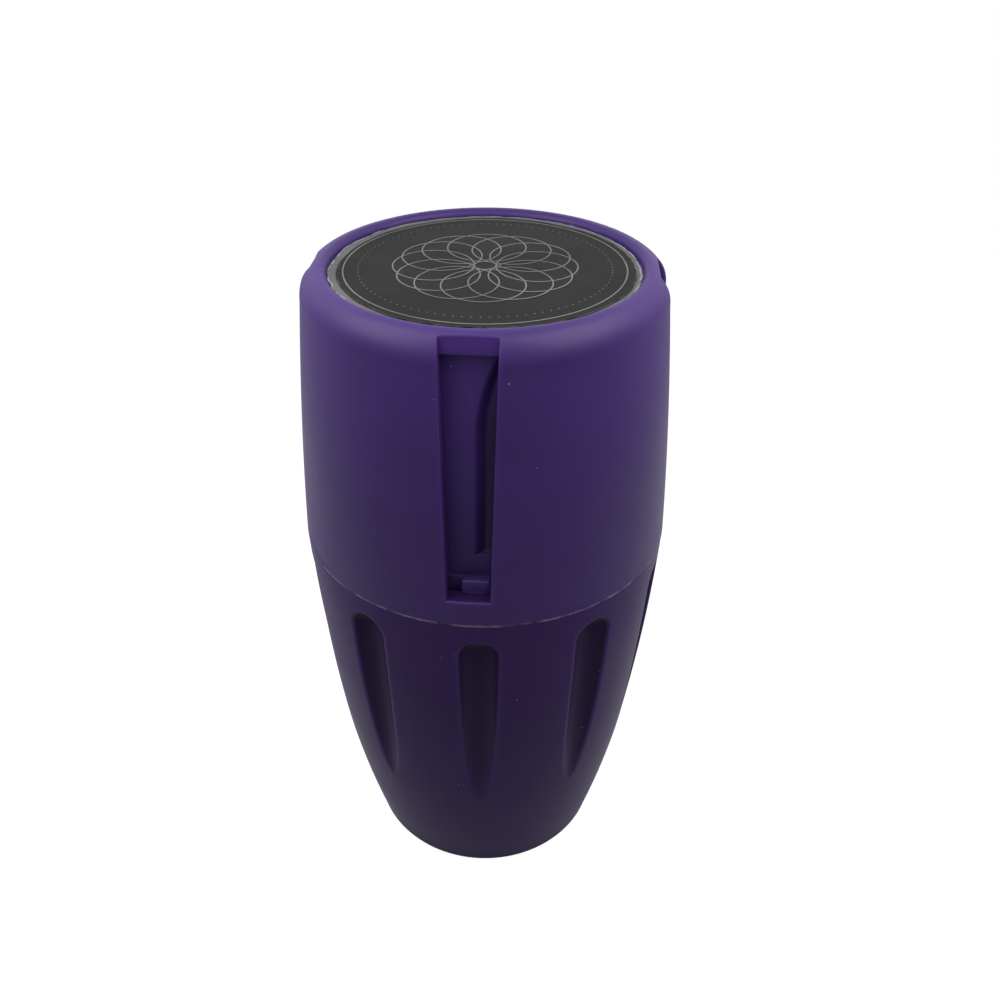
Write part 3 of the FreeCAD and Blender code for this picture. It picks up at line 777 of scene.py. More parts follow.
def painted(graph: Graph, piece: bpy.types.Node, takes: bpy.types.NodeOutputs,
            gives: bpy.types.NodeInputs) -> bpy.types.NodeTree:
    """End a geometry tree by giving its piece the material."""
    paint = graph.node("GeometryNodeSetMaterial", {
        "Geometry": piece.outputs[0], "Material": takes["Material"]})
    graph.put(gives[0], paint.outputs[0])
    return graph.tree


def ring_tree() -> bpy.types.NodeTree:
    """Repeats a sector or a piece round the Z axis and sews the copies together."""
    graph, takes, gives = new_group(
        "Ring of copies", "GeometryNodeTree",
        [GEOMETRY, Socket("Count", "NodeSocketInt"), Socket("First"), Socket("Sew"), MATERIAL],
        [GEOMETRY])
    points = graph.node("GeometryNodePoints", {"Count": takes["Count"]})
    step = graph.math("DIVIDE", math.tau, takes["Count"])
    index = graph.node("GeometryNodeInputIndex").outputs[0]
    spin = graph.node("ShaderNodeCombineXYZ", {"Z": graph.line(index, step, takes["First"])})
    copies = graph.node("GeometryNodeInstanceOnPoints", {
        "Points": points.outputs[0], "Instance": takes["Geometry"], "Rotation": spin.outputs[0]})
    real = graph.node("GeometryNodeRealizeInstances", {0: copies.outputs[0]})
    merged = graph.node("GeometryNodeMergeByDistance", {
        "Geometry": real.outputs[0], "Distance": takes["Sew"]})
    return painted(graph, merged, takes, gives)


def print_tree() -> bpy.types.NodeTree:
    """Draws a border ring, a ring of dots and a rosette of circles as flat ribbons of ink."""
    lengths = ("Border Radius", "Dot Ring Radius", "Dot Radius", "Rosette Reach", "Circle Radius",
               "Line Width", "Ink Depth", "Overlap", "Height")
    counts = ("Dot Count", "Circle Count", "Border Points", "Circle Points", "Dot Points")
    graph, takes, gives = new_group(
        "Printed rosette", "GeometryNodeTree",
        [GEOMETRY] + [Socket(name) for name in lengths]
        + [Socket(name, "NodeSocketInt") for name in counts] + [MATERIAL], [GEOMETRY])
    nib = graph.node("GeometryNodeCurvePrimitiveQuadrilateral", {
        "Width": takes["Line Width"], "Height": takes["Ink Depth"]})

    def circle(which: str) -> bpy.types.NodeSocket:
        """A circle drawn as a ribbon, by the first word of its inputs."""
        path = graph.node("GeometryNodeCurvePrimitiveCircle", {
            "Resolution": takes[which + " Points"], "Radius": takes[which + " Radius"]})
        return graph.node("GeometryNodeCurveToMesh", {
            "Curve": path.outputs["Curve"], "Profile Curve": nib.outputs["Curve"]}).outputs["Mesh"]

    def round_about(piece: bpy.types.NodeSocket, radius: str, count: str,
                    overlap: object = 0.0) -> bpy.types.NodeSocket:
        """Copies of a piece on a ring, each a hair above the last where they overlap."""
        ring = graph.node("GeometryNodeMeshCircle", {"Vertices": takes[count], "Radius": takes[radius]})
        index = graph.node("GeometryNodeInputIndex").outputs[0]
        rise = graph.node("ShaderNodeCombineXYZ", {"Z": graph.math("MULTIPLY", index, overlap)})
        stagger = graph.node("GeometryNodeSetPosition", {
            "Geometry": ring.outputs[0], "Offset": rise.outputs[0]})
        return graph.node("GeometryNodeInstanceOnPoints", {
            "Points": stagger.outputs[0], "Instance": piece}).outputs[0]

    dot = graph.node("GeometryNodeMeshCylinder", {
        "Vertices": takes["Dot Points"], "Radius": takes["Dot Radius"], "Depth": takes["Ink Depth"]})
    drawn = (circle("Border"),
             round_about(dot.outputs["Mesh"], "Dot Ring Radius", "Dot Count"),
             round_about(circle("Circle"), "Rosette Reach", "Circle Count", takes["Overlap"]))
    join = graph.node("GeometryNodeJoinGeometry")
    for piece in drawn:
        graph.put(join.inputs[0], piece)
    real = graph.node("GeometryNodeRealizeInstances", {0: join.outputs[0]})
    lift = graph.node("ShaderNodeCombineXYZ", {"Z": takes["Height"]})
    place = graph.node("GeometryNodeTransform", {
        "Geometry": real.outputs[0], "Translation": lift.outputs[0]})
    return painted(graph, place, takes, gives)


def grown(name: str, seed: bpy.types.Mesh, tree: bpy.types.NodeTree,
          inputs: dict[str, object]) -> bpy.types.Object:
    """Run a geometry tree on a mesh and keep the result as a plain mesh.

    Args:
        name: the piece's name.
        seed: the mesh that the tree starts from.
        tree: the geometry tree.
        inputs: values of the tree's inputs, by name.

    Returns:
        The piece, with no modifier left on it.
    """
    made = new_object(name, seed)
    modifier = made.modifiers.new("Growth", "NODES")
    modifier.node_group = tree
    for item in tree.interface.items_tree:
        if item.item_type == "SOCKET" and item.in_out == "INPUT" and item.name in inputs:
            modifier[item.identifier] = inputs[item.name]
    bpy.context.view_layer.update()
    depsgraph = bpy.context.evaluated_depsgraph_get()
    mesh = bpy.data.meshes.new_from_object(
        made.evaluated_get(depsgraph), preserve_all_data_layers=True, depsgraph=depsgraph)
    made.modifiers.clear()
    made.data = mesh
    bpy.data.meshes.remove(seed)
    return made


@dataclass
class Workshop:
    """What every sub-assembly builds with: the finishes and the geometry trees."""

    finishes: Finishes
    ring: bpy.types.NodeTree
    rosette: bpy.types.NodeTree

    def ringed(self, name: str, skin: Skin, count: int, first_deg: float,
               material: bpy.types.Material, sew: bool = True) -> bpy.types.Object:
        """Repeat a skin round the axis and close it.

        Args:
            name: the piece's name.
            skin: the sector or single piece.
            count: copies in the ring.
            first_deg: angle of the first copy.
            material: the finish.
            sew: merge the copies where they meet.

        Returns:
            The finished piece.
        """
        made = grown(name, skin.mesh(name), self.ring, {
            "Count": count, "First": math.radians(first_deg), "Sew": WELD if sew else 0.0,
            "Material": material})
        sewn(made.data, turn_out=True)
        shaded(made.data)
        return made


def settle(piece: bpy.types.Object, body: Body, node: str | None = None) -> None:
    """Fix a finished piece to its body and hide the frame's node that it stands for."""
    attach(piece, body.value)
    if node:
        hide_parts(node)
    log.info("%s rides on %s, %d faces", piece.name, body.value, len(piece.data.polygons))


# ---------------------------------------------------------------------------------------------
# Storage cup


@dataclass
class StorageCup:
    """The tapered cup: bowed side with soft finger flutes, flat base, store and seat for the deck."""

    rim_z: float = 68.34
    rim_r: float = 30.25
    rim_round: float = 0.12
    knee_z: float = 23.4
    knee_r: float = 26.6
    base_r: float = 21.05
    base_round: float = 1.0
    base_ring: float = 0.6
    low_bow: float = 250.0
    high_bow: float = 380.0
    wall: float = 2.5
    floor: float = 2.6
    inside_soft: float = 0.25
    mouth_r: float = 27.2
    seat_z: float = 65.7
    bore_r: float = 25.5
    plug_z: float = 58.1
    flutes: int = 10
    flute_r: float = 3.45
    flute_bite: float = 2.52
    flute_drop: float = 6.85
    flute_lean_deg: float = 1.5
    flute_end: float = 0.03
    edge_reach: float = 0.55
    edge_share: float = 0.42
    edge_swing_full: float = 0.8
    # A flute's rounded edge and the land next to it take a painted highlight; its inside takes painted
    # shade.
    edge_glow: Sequence[float] = (0.0, 0.1, 0.3, 0.6, 0.7, 0.5, 0.3)
    land_glow: float = 0.3
    land_fade: float = 6.0
    land_bias: float = 1.6
    land_rings: int = 9
    side_rows: int = 46
    head_rays: int = 23
    wall_columns: int = 12
    base_rows: int = 6
    low: float = field(init=False)
    high: float = field(init=False)
    half_angle: float = field(init=False)
    foot_points: int = field(init=False)
    lean: float = field(init=False)

    def __post_init__(self) -> None:
        """Work out the side's ends, a sector's angle and the flutes' lean."""
        self.low, self.high = self.base_round, self.rim_z - self.rim_round
        self.half_angle = math.pi / self.flutes
        self.foot_points = 2 * self.wall_columns + 1
        self.lean = math.radians(self.flute_lean_deg)

    def radius(self, height: np.ndarray) -> np.ndarray:
        """Outer radius of the plain side at heights."""
        knee = (self.knee_r, self.knee_z)
        low = BowedSide((self.base_r + self.base_round, self.low), knee, self.low_bow)
        high = BowedSide(knee, (self.rim_r, self.high), self.high_bow)
        height = np.asarray(height, float)
        return np.where(height < self.knee_z, low.radius(np.minimum(height, self.knee_z)),
                        high.radius(np.maximum(height, self.knee_z)))

    def on_side(self, angle: np.ndarray, height: np.ndarray) -> np.ndarray:
        """Points of the plain side at angles and heights."""
        return polar(self.radius(height), angle, height)

    def on_flute(self, drop: object, ray: object, swing: np.ndarray) -> np.ndarray:
        """Points of the round cutter that shapes a flute.

        Args:
            drop: distance below the head's centre, along the flute.
            ray: direction across the flute, from straight up at 0 to square across at a right angle.
            swing: angle from the flute's floor up its wall.

        Returns:
            Points with X across the flute and -Y out of the cup.
        """
        along = np.cos(ray) * np.sin(swing) * self.flute_r - drop
        across = np.sin(ray) * np.sin(swing) * self.flute_r
        into = np.cos(swing) * self.flute_r
        reach = self.rim_r - self.flute_bite + self.flute_r
        reach = reach + along * math.sin(self.lean) - into * math.cos(self.lean)
        height = self.rim_z - self.flute_drop
        height = height + along * math.cos(self.lean) + into * math.sin(self.lean)
        return points_at(across, -reach, height)

    def edge_swing(self, drop: np.ndarray, ray: np.ndarray) -> np.ndarray:
        """Angle up a flute's wall at which it comes out of the cup's side."""
        low, high = np.zeros_like(drop), np.full_like(drop, SQUARE)
        for _ in range(HALVINGS):
            middle = (low + high) / 2
            point = self.on_flute(drop, ray, middle)
            outside = np.hypot(point[..., 0], point[..., 1]) > self.radius(point[..., 2])
            low, high = np.where(outside, low, middle), np.where(outside, middle, high)
        return (low + high) / 2

    def flute_length(self) -> float:
        """Distance along a flute from its head's centre to where its floor comes out of the side."""
        low, high = 0.0, self.rim_z - self.flute_drop - self.base_round
        for _ in range(HALVINGS):
            middle = (low + high) / 2
            point = self.on_flute(middle, 0.0, np.zeros(1))[0]
            depth = float(self.radius(point[2])) - float(np.hypot(point[0], point[1]))
            low, high = (middle, high) if depth > self.flute_end else (low, middle)
        return low

    def edge_room(self, swing: np.ndarray) -> np.ndarray:
        """How far from a flute's sharp edge its rounding starts."""
        return np.minimum(self.edge_reach, self.edge_share * self.flute_r * swing)

    @staticmethod
    def beside(points: np.ndarray, reach: np.ndarray, ray: np.ndarray) -> tuple[np.ndarray, np.ndarray]:
        """Angles and heights on the side at a distance from points, along rays."""
        turn = reach * np.sin(ray) / np.hypot(points[:, 0], points[:, 1])
        return angles_of(points) + turn, points[:, 2] + reach * np.cos(ray)

    def add_flute(self, skin: Skin) -> tuple[np.ndarray, np.ndarray, np.ndarray]:
        """Add one flute with its rounded edge.

        Args:
            skin: the sector's skin.

        Returns:
            Angles, heights and the edge's strength along the loop where the flute meets the side.
        """
        drop = self.flute_length() * (1 - np.linspace(0, 1, self.side_rows))
        side_ray = np.full_like(drop, SQUARE)
        rays = np.linspace(SQUARE, -SQUARE, self.head_rays)
        share = np.linspace(-1, 1, self.foot_points)
        side_edge, head_edge = self.edge_swing(drop, side_ray), self.edge_swing(0 * rays, rays)
        side_room, head_room = self.edge_room(side_edge), self.edge_room(head_edge)
        side_in, head_in = side_edge - side_room / self.flute_r, head_edge - head_room / self.flute_r
        strength = np.clip(side_edge / self.edge_swing_full, 0, 1)
        trough = self.on_flute(drop[:, None], np.sign(share) * SQUARE, np.abs(share) * side_in[:, None])
        # Painted shade inside the flute: the trough as far as it is deep, the dome fully.
        skin.patch(trough, painted_shade=strength[:, None])
        up_wall = np.linspace(0, 1, self.wall_columns + 1)
        dome = self.on_flute(0.0, rays[:, None], up_wall * head_in[:, None])
        skin.patch(dome, painted_shade=1.0)

        # The flute's tail ends in half a round between the feet of its two sides.
        side, head = self.on_flute(drop, side_ray, side_edge), self.on_flute(0.0, rays, head_edge)
        tail_share = share[::-1]
        tail_round = np.sqrt(1 - tail_share ** 2)
        tail_half, tail_z, tail_room = side[0, 0], side[0, 2], side_room[0]
        tail_angle = tail_share * tail_half / self.radius(tail_z)
        tail_height = tail_z - tail_half * tail_round
        tail_out = (tail_angle + tail_share * tail_room / self.radius(tail_z),
                    tail_height - tail_room * tail_round)
        side_out, head_out = self.beside(side, side_room, side_ray), self.beside(head, head_room, rays)
        angle = around(side_out[0], head_out[0], tail_out[0], -1.0)
        height = around(side_out[1], head_out[1], tail_out[1], 1.0)
        strength = around(strength, np.ones(self.head_rays), np.zeros(self.foot_points), 1.0)
        # The rounding takes painted highlight, and painted shade that fades out towards the side.
        steps = len(self.edge_glow) - 1
        rounding = rounded_edge(around(trough[:, -1], dome[:, -1], trough[0, ::-1], MIRROR),
                                around(side, head, self.on_side(tail_angle, tail_height), MIRROR),
                                self.on_side(angle, height), steps)
        skin.patch(rounding, np.array(self.edge_glow)[:, None] * strength, closed=True,
                   painted_shade=np.linspace(1, 0, steps + 1)[:, None] * strength)
        return angle, height, strength

    def add_land(self, skin: Skin, angle: np.ndarray, height: np.ndarray, strength: np.ndarray) -> None:
        """Add the plain side between a flute's loop and the sector's border.

        Args:
            skin: the sector's skin.
            angle: the loop's angles.
            height: its heights.
            strength: how far the flute's pale edge, a painted highlight, runs on past it.
        """
        rows = np.linspace(self.low, self.high, self.side_rows)
        to_angle, to_height = border(self.half_angle, rows, self.head_rays, self.foot_points)
        spread = ring_shares(self.land_rings, self.land_bias)
        land = self.on_side(angle + (to_angle - angle) * spread, height + (to_height - height) * spread)
        # Painted highlight on the land, fading away from the flute.
        glow = np.clip(self.land_glow - self.land_fade * spread, 0, 1)
        skin.patch(land, glow * strength, closed=True)

    def sector(self) -> Skin:
        """One flute with its share of the side, rim, base and inside."""
        skin = Skin()
        self.add_land(skin, *self.add_flute(skin))
        inside = softened([
            (self.rim_r, self.high), (self.rim_r, self.rim_z), (self.mouth_r, self.rim_z),
            (self.mouth_r, self.seat_z), (self.bore_r, self.seat_z), (self.bore_r, self.plug_z),
            (self.knee_r - self.wall, self.knee_z), (self.base_r - self.wall, self.floor),
            (0.0, self.floor)], self.inside_soft, closed=False)
        skin.patch(turned(inside, np.linspace(self.half_angle, -self.half_angle, self.head_rays)))
        under = [(self.base_r + self.base_round * math.cos(turn), self.base_round * (1 - math.sin(turn)))
                 for turn in np.linspace(0, SQUARE, self.base_rows)]
        under += [(self.base_r * self.base_ring, 0.0), (0.0, 0.0)]
        skin.patch(turned(under, np.linspace(-self.half_angle, self.half_angle, self.foot_points)))
        return skin

    def build(self, shop: Workshop) -> None:
        """Make the cup and dress it."""
        cup = shop.ringed("fluted_cup", self.sector(), self.flutes, 0.0, shop.finishes.cup)
        settle(cup, Body.CUP, "storage_cup")


# ---------------------------------------------------------------------------------------------
# Cap shell


@dataclass(frozen=True)
class WindowEdge:
    """The sharp edge of one window, and the rounding's start on the window's walls."""

    ways: np.ndarray
    side: np.ndarray
    head_way: np.ndarray
    head: np.ndarray
    sill: np.ndarray
    side_room: np.ndarray
    head_room: np.ndarray
    side_in: np.ndarray
    head_in: np.ndarray
    sill_in: np.ndarray


@dataclass
class CapShell:
    """The cap: bowed side, long soft shoulder, recess for the printed disc and tapered windows."""

    foot_z: float = 68.42
    foot_r: float = 30.3
    foot_round: float = 0.12
    shoulder_r: float = 27.15
    shoulder_z: float = 109.75
    shoulder_rise: float = 4.4
    top_z: float = 112.75
    bow: float = 650.0
    wall: float = 2.6
    recess_r: float = 23.15
    recess_z: float = 111.6
    rim_round: float = 1.0
    plate_z: float = 109.8
    windows: int = 4
    sill_z: float = 72.65
    sill_half: float = 3.175
    # Painted shade on the sill's floor.
    sill_shade: float = 0.8
    # Share of the window edge's painted highlight that the sill's edge takes.
    sill_highlight: float = 0.2
    lintel_z: float = 109.7
    lintel_half: float = 3.875
    lintel_face: float = 25.35
    # Painted highlight on the lintel's face, brighter towards its top.
    lintel_glow: float = 0.4
    lintel_rise: float = 1.4
    edge_reach: float = 0.4
    # Painted highlight across a window's rounded edge, and fading over the land beside it.
    edge_glow: Sequence[float] = (0.1, 0.3, 0.6, 0.6, 0.3, 0.1)
    land_glow: float = 0.25
    land_fade: float = 12.0
    land_bias: float = 1.8
    land_rings: int = 12
    columns: int = 32
    low_rows: int = 40
    high_rows: int = 12
    head_rows: int = 18
    wall_rows: int = 4
    lip_rows: int = 2
    lining_rings: int = 6
    corner_tries: int = 4
    low: float = field(init=False)
    high: float = field(init=False)
    side: BowedSide = field(init=False)
    head_r: float = field(init=False)
    shoulder_reach: float = field(init=False)
    half_angle: float = field(init=False)
    share: np.ndarray = field(init=False)

    def __post_init__(self) -> None:
        """Work out where the side ends and the shoulder's long rounding starts."""
        self.low = self.foot_z + self.foot_round
        self.high = self.top_z - self.shoulder_rise
        self.side = BowedSide((self.foot_r, self.low), (self.shoulder_r, self.shoulder_z), self.bow)
        self.head_r = float(self.side.radius(self.high))
        self.shoulder_reach = self.head_r - self.recess_r - self.rim_round
        self.half_angle = math.pi / self.windows
        self.share = np.linspace(1, -1, self.columns)

    def half_width(self, height: object) -> np.ndarray:
        """Half a window's width at heights."""
        share = (np.asarray(height) - self.sill_z) / (self.lintel_z - self.sill_z)
        return self.sill_half + (self.lintel_half - self.sill_half) * share

    def outer(self, way: object) -> tuple[np.ndarray, np.ndarray]:
        """Radius and height along the outside: to 1 up the side, 2 over the shoulder, 3 into the recess."""
        way = np.asarray(way, float)
        height = self.low + np.clip(way, 0, 1) * (self.high - self.low)
        turn, dip = np.clip(way - 1, 0, 1) * SQUARE, np.clip(way - 2, 0, 1) * SQUARE
        radius = self.side.radius(height) - self.shoulder_reach * (1 - np.cos(turn))
        rise = self.shoulder_rise * np.sin(turn) - self.rim_round * (1 - np.cos(dip))
        return radius - self.rim_round * np.sin(dip), height + rise

    def way_at(self, height: float) -> float:
        """Way along the outside of a height on the side or shoulder."""
        if height > self.high:
            return 1 + math.asin((height - self.high) / self.shoulder_rise) / SQUARE
        return (height - self.low) / (self.high - self.low)

    def way_on_face(self, across: object) -> np.ndarray:
        """Way along the outside where the lintel's face comes out of the shoulder."""
        radius = np.hypot(across, self.lintel_face)
        return 1 + np.arccos(1 - (self.head_r - radius) / self.shoulder_reach) / SQUARE

    def on_outside(self, angle: np.ndarray, way: np.ndarray) -> np.ndarray:
        """Points of the plain outside at angles and ways."""
        radius, height = self.outer(way)
        return polar(radius, angle, height)

    def inner_r(self, height: object) -> np.ndarray:
        """Inner radius of the wall at heights."""
        share = (np.asarray(height) - self.foot_z) / (self.plate_z - self.foot_z)
        return self.foot_r - self.wall + (self.shoulder_r - self.foot_r) * share

    def wall_back(self, across: object, height: object) -> np.ndarray:
        """Y of the wall's inner face at places across a window and heights."""
        return -np.sqrt(self.inner_r(height) ** 2 - across ** 2)

    def window_edge(self) -> WindowEdge:
        """Work out one window's edge on the outside.

        Returns:
            The edge's runs up the right side, along the head and along the sill.
        """
        corner_way = self.way_on_face(self.lintel_half)
        for _ in range(self.corner_tries):
            corner_way = self.way_on_face(self.half_width(self.outer(corner_way)[1]))
        low_way = np.linspace(self.way_at(self.sill_z), self.way_at(self.lintel_z), self.low_rows)
        high_way = np.linspace(low_way[-1], corner_way, self.high_rows)
        ways = np.concatenate([low_way, high_way[1:]])
        radius, height = self.outer(ways)
        half = self.half_width(height)
        side = points_at(half, -np.sqrt(radius ** 2 - half ** 2), height)
        side_room = np.minimum(self.edge_reach, CORNER_SHARE * (-side[:, 1] - self.lintel_face))
        side_room[:self.low_rows] = self.edge_reach
        sill_x = self.share * self.half_width(self.sill_z)
        sill = points_at(sill_x, -np.sqrt(radius[0] ** 2 - sill_x ** 2), height[0])
        head_x = self.share * half[-1]
        head_way = self.way_on_face(head_x)
        head = points_at(head_x, -self.lintel_face, self.outer(head_way)[1])
        head_room = self.edge_reach * np.sqrt(np.clip(1 - self.share ** 4, 0, 1))
        return WindowEdge(
            ways, side, head_way, head, sill, side_room, head_room,
            side_in=side + points_at(0.0, side_room, 0.0),
            head_in=head - points_at(0.0, 0.0, head_room),
            sill_in=sill + points_at(0.0, self.edge_reach, 0.0))

    def add_outside(self, skin: Skin, edge: WindowEdge) -> None:
        """Add a window's rounded edge and the outside from there to the sector's border."""
        rows, one = len(edge.ways), np.ones(self.columns)
        sharp = around(edge.side, edge.head, edge.sill, MIRROR)
        way = around(edge.ways, edge.head_way, one * edge.ways[0], 1.0)
        room = around(edge.side_room, edge.head_room, one * self.edge_reach, 1.0)
        across = around(np.ones(rows), 0 * one, 0 * one, -1.0)
        at_foot = np.zeros(rows)
        at_foot[0] = -1.0
        along = around(at_foot, one, -one, 1.0)
        over_shoulder = (self.shoulder_rise + self.shoulder_reach) * SQUARE / 2
        way_scale = np.where(way > 1, over_shoulder, self.high - self.low)
        out_angle = angles_of(sharp) + across * room / np.hypot(sharp[:, 0], sharp[:, 1])
        out_way = way + along * room / way_scale
        rounding = rounded_edge(around(edge.side_in, edge.head_in, edge.sill_in, MIRROR), sharp,
                                self.on_outside(out_angle, out_way), len(self.edge_glow) - 1)
        # The window's rounded edge takes a painted highlight, weaker along the sill.
        edge_light = around(np.ones(rows), one, one * self.sill_highlight, 1.0)
        skin.patch(rounding, np.array(self.edge_glow)[:, None] * edge_light, closed=True)
        edge_ways = np.concatenate([np.linspace(0, 1, rows - self.head_rows),
                                    np.linspace(1, 3, self.head_rows + 1)[1:]])
        to_angle, to_way = border(self.half_angle, edge_ways, self.columns, self.columns)
        spread = ring_shares(self.land_rings, self.land_bias)
        land = self.on_outside(out_angle + (to_angle - out_angle) * spread,
                               out_way + (to_way - out_way) * spread)
        skin.patch(land, np.clip(self.land_glow - self.land_fade * spread, 0, 1), closed=True)

    @staticmethod
    def straight_in(points: np.ndarray, last: object, steps: int) -> np.ndarray:
        """Rows of points from some points straight in to a depth."""
        into = points[:, 1] + (last - points[:, 1]) * ring_shares(steps)
        return points_at(points[:, 0], into, points[:, 2])

    def add_walls(self, skin: Skin, edge: WindowEdge) -> None:
        """Add a window's jambs, sill and lintel."""
        low, high = slice(0, self.low_rows), slice(self.low_rows - 1, None)
        lip = self.lintel_face + float(self.wall_back(self.lintel_half, self.lintel_z))
        back = self.wall_back(edge.side[low, 0], edge.side[low, 2])
        jamb = self.straight_in(edge.side_in[low], back - lip, self.wall_rows)
        for wall in (jamb, self.straight_in(jamb[-1], back, self.lip_rows),
                     self.straight_in(edge.side_in[high], -self.lintel_face, self.wall_rows)):
            skin.patch(wall)
            skin.patch(wall * MIRROR)
        sill_back = self.wall_back(edge.sill[:, 0], self.sill_z)
        floor = self.straight_in(edge.sill_in, sill_back - lip, self.wall_rows)
        # Painted shade on the sill.
        skin.patch(floor, painted_shade=self.sill_shade)
        skin.patch(self.straight_in(floor[-1], sill_back, self.lip_rows), painted_shade=self.sill_shade)
        jamb_z = edge.side[high, 2]
        part = ((jamb_z - self.lintel_z) / (jamb_z[-1] - self.lintel_z))[:, None]
        face = points_at(self.share * edge.side[high, :1], -self.lintel_face,
                         self.lintel_z + part * (edge.head_in[:, 2] - self.lintel_z))
        # Painted highlight on the lintel's face, rising towards its top.
        skin.patch(face, np.clip(part * self.lintel_rise + self.lintel_glow, 0, 1))
        lintel_back = self.wall_back(self.share * self.lintel_half, self.lintel_z)
        skin.patch(self.straight_in(face[0], lintel_back, self.lip_rows))

    def add_inside(self, skin: Skin, edge: WindowEdge) -> None:
        """Add the wall's lining, the foot, the recess and the plate under it."""
        def back_of(across: np.ndarray, height: np.ndarray) -> np.ndarray:
            """Points on the wall's inner face."""
            return points_at(across, self.wall_back(across, height), height)

        side, sill = edge.side[:self.low_rows], edge.sill
        hole = around(back_of(side[:, 0], side[:, 2]),
                      back_of(self.share * self.lintel_half, np.full(self.columns, self.lintel_z)),
                      back_of(sill[:, 0], sill[:, 2]), MIRROR)
        far_angle, far_z = border(self.half_angle, np.linspace(self.foot_z, self.plate_z, self.low_rows),
                                  self.columns, self.columns)
        spread = ring_shares(self.lining_rings)
        angle = angles_of(hole) + (far_angle - angles_of(hole)) * spread
        height = hole[:, 2] + (far_z - hole[:, 2]) * spread
        skin.patch(polar(self.inner_r(height), angle, height), closed=True)
        foot = softened([(self.foot_r, self.low), (self.foot_r, self.foot_z),
                         (self.foot_r - self.wall, self.foot_z)], self.foot_round * 2, closed=False)
        recess = [(self.recess_r, self.top_z - self.rim_round), (self.recess_r, self.recess_z),
                  (0.0, self.recess_z)]
        plate = [(self.shoulder_r - self.wall, self.plate_z), (0.0, self.plate_z)]
        for profile in (foot, recess, plate):
            skin.patch(turned(profile, self.share * self.half_angle))

    def build(self, shop: Workshop) -> None:
        """Make the cap's shell and dress it."""
        skin, edge = Skin(), self.window_edge()
        for add in (self.add_outside, self.add_walls, self.add_inside):
            add(skin, edge)
        shell = shop.ringed("windowed_cap", skin, self.windows, CAP_TURN, shop.finishes.cap)
        settle(shell, Body.CAP, "cap_shell")


# ---------------------------------------------------------------------------------------------
# Mill, drum and small parts


def standing(rings: np.ndarray, ring_r: float) -> Skin:
    """A piece made of rings of points round the axis, moved out to stand on its ring at -Y."""
    made = Skin()
    made.patch(rings + np.array([0.0, -ring_r, 0.0]), closed=True)
    return made


def pin(profile: Sequence[Corner], ring_r: float, sides: int = 20) -> Skin:
    """One round pin, standing on its ring at -Y."""
    return standing(turned(profile, full_turn(sides)), ring_r)


def pin_profile(radius: float, low: float, high: float, dome: float = 0.55, rows: int = 5) -> list[Corner]:
    """Profile of a pin with a domed free end, from its flat seat to its tip."""
    way = 1 if high > low else -1
    end = [(radius - dome + dome * math.cos(turn), high - way * dome * (1 - math.sin(turn)))
           for turn in np.linspace(0, SQUARE, rows)]
    return [(0.0, low), (radius, low)] + end + [(0.0, high)]


def band(inner: float, outer: float, low: float, high: float, soft: float) -> list[Corner]:
    """Profile of a flat ring with soft edges."""
    return softened([(inner, low), (outer, low), (outer, high), (inner, high)], soft)


def spun(name: str, profile: Sequence[Corner], material: bpy.types.Material,
         sides: int) -> bpy.types.Object:
    """A piece turned about the axis from a profile.

    Args:
        name: the piece's name.
        profile: its closed outline, or one that starts and ends on the axis.
        material: its finish.
        sides: points round the axis.

    Returns:
        The closed piece.
    """
    ring = list(profile)
    if ring[0][0] > 0:
        ring.append(ring[0])
    skin = Skin()
    skin.patch(turned(ring, full_turn(sides)), closed=True)
    return skin.piece(name, material)


@dataclass
class Mill:
    """The deck under the cap: its bowl, teeth, pivot, magnet, seal and the glide ring on its neck."""

    plug_z: float = 58.4
    tooth_top: float = 68.9
    tooth_r: float = 1.2
    tooth_ring: float = 15.8
    teeth: int = 10
    pivot_r: float = 2.0
    pivot_top: float = 72.4
    pivot_sides: int = 40
    bore_r: float = 2.06
    magnet_r: float = 5.5
    magnet_low: float = 63.6
    magnet_top: float = 66.4
    magnet_soft: float = 0.25
    magnet_sides: int = 64
    seal_ring: float = 24.67
    seal_r: float = 0.75
    seal_z: float = 61.8
    seal_points: int = 16
    glide_in: float = 24.38
    glide_out: float = 26.58
    glide_low: float = 67.7
    glide_top: float = 68.9
    glide_soft: float = 0.2
    ring_sides: int = 160

    def build(self, shop: Workshop) -> None:
        """Make the deck's pieces and dress them."""
        finishes = shop.finishes
        settle(copied("mill_deck", finishes.mill, "grinding_deck"), Body.DECK, "mill_deck")
        tooth = pin(pin_profile(self.tooth_r, self.plug_z, self.tooth_top), self.tooth_ring)
        settle(shop.ringed("deck_pins", tooth, self.teeth, 90.0 + 180.0 / self.teeth, finishes.steel,
                           sew=False), Body.DECK, "deck_teeth")
        post = pin_profile(self.pivot_r, self.plug_z, self.pivot_top)
        settle(spun("pivot_post", post, finishes.steel, self.pivot_sides), Body.DECK, "pivot_pin")
        magnet = band(self.bore_r, self.magnet_r, self.magnet_low, self.magnet_top, self.magnet_soft)
        settle(spun("deck_ring_magnet", magnet, finishes.magnet, self.magnet_sides),
               Body.DECK, "deck_magnet")
        cord = [(self.seal_ring + self.seal_r * math.cos(turn), self.seal_z + self.seal_r * math.sin(turn))
                for turn in full_turn(self.seal_points)]
        settle(spun("seal_ring", cord, finishes.rubber, self.ring_sides), Body.DECK, "deck_seal")
        glide = band(self.glide_in, self.glide_out, self.glide_low, self.glide_top, self.glide_soft)
        settle(spun("glide_band", glide, finishes.slip, self.ring_sides),
               Body.GLIDE, "glide_ring")


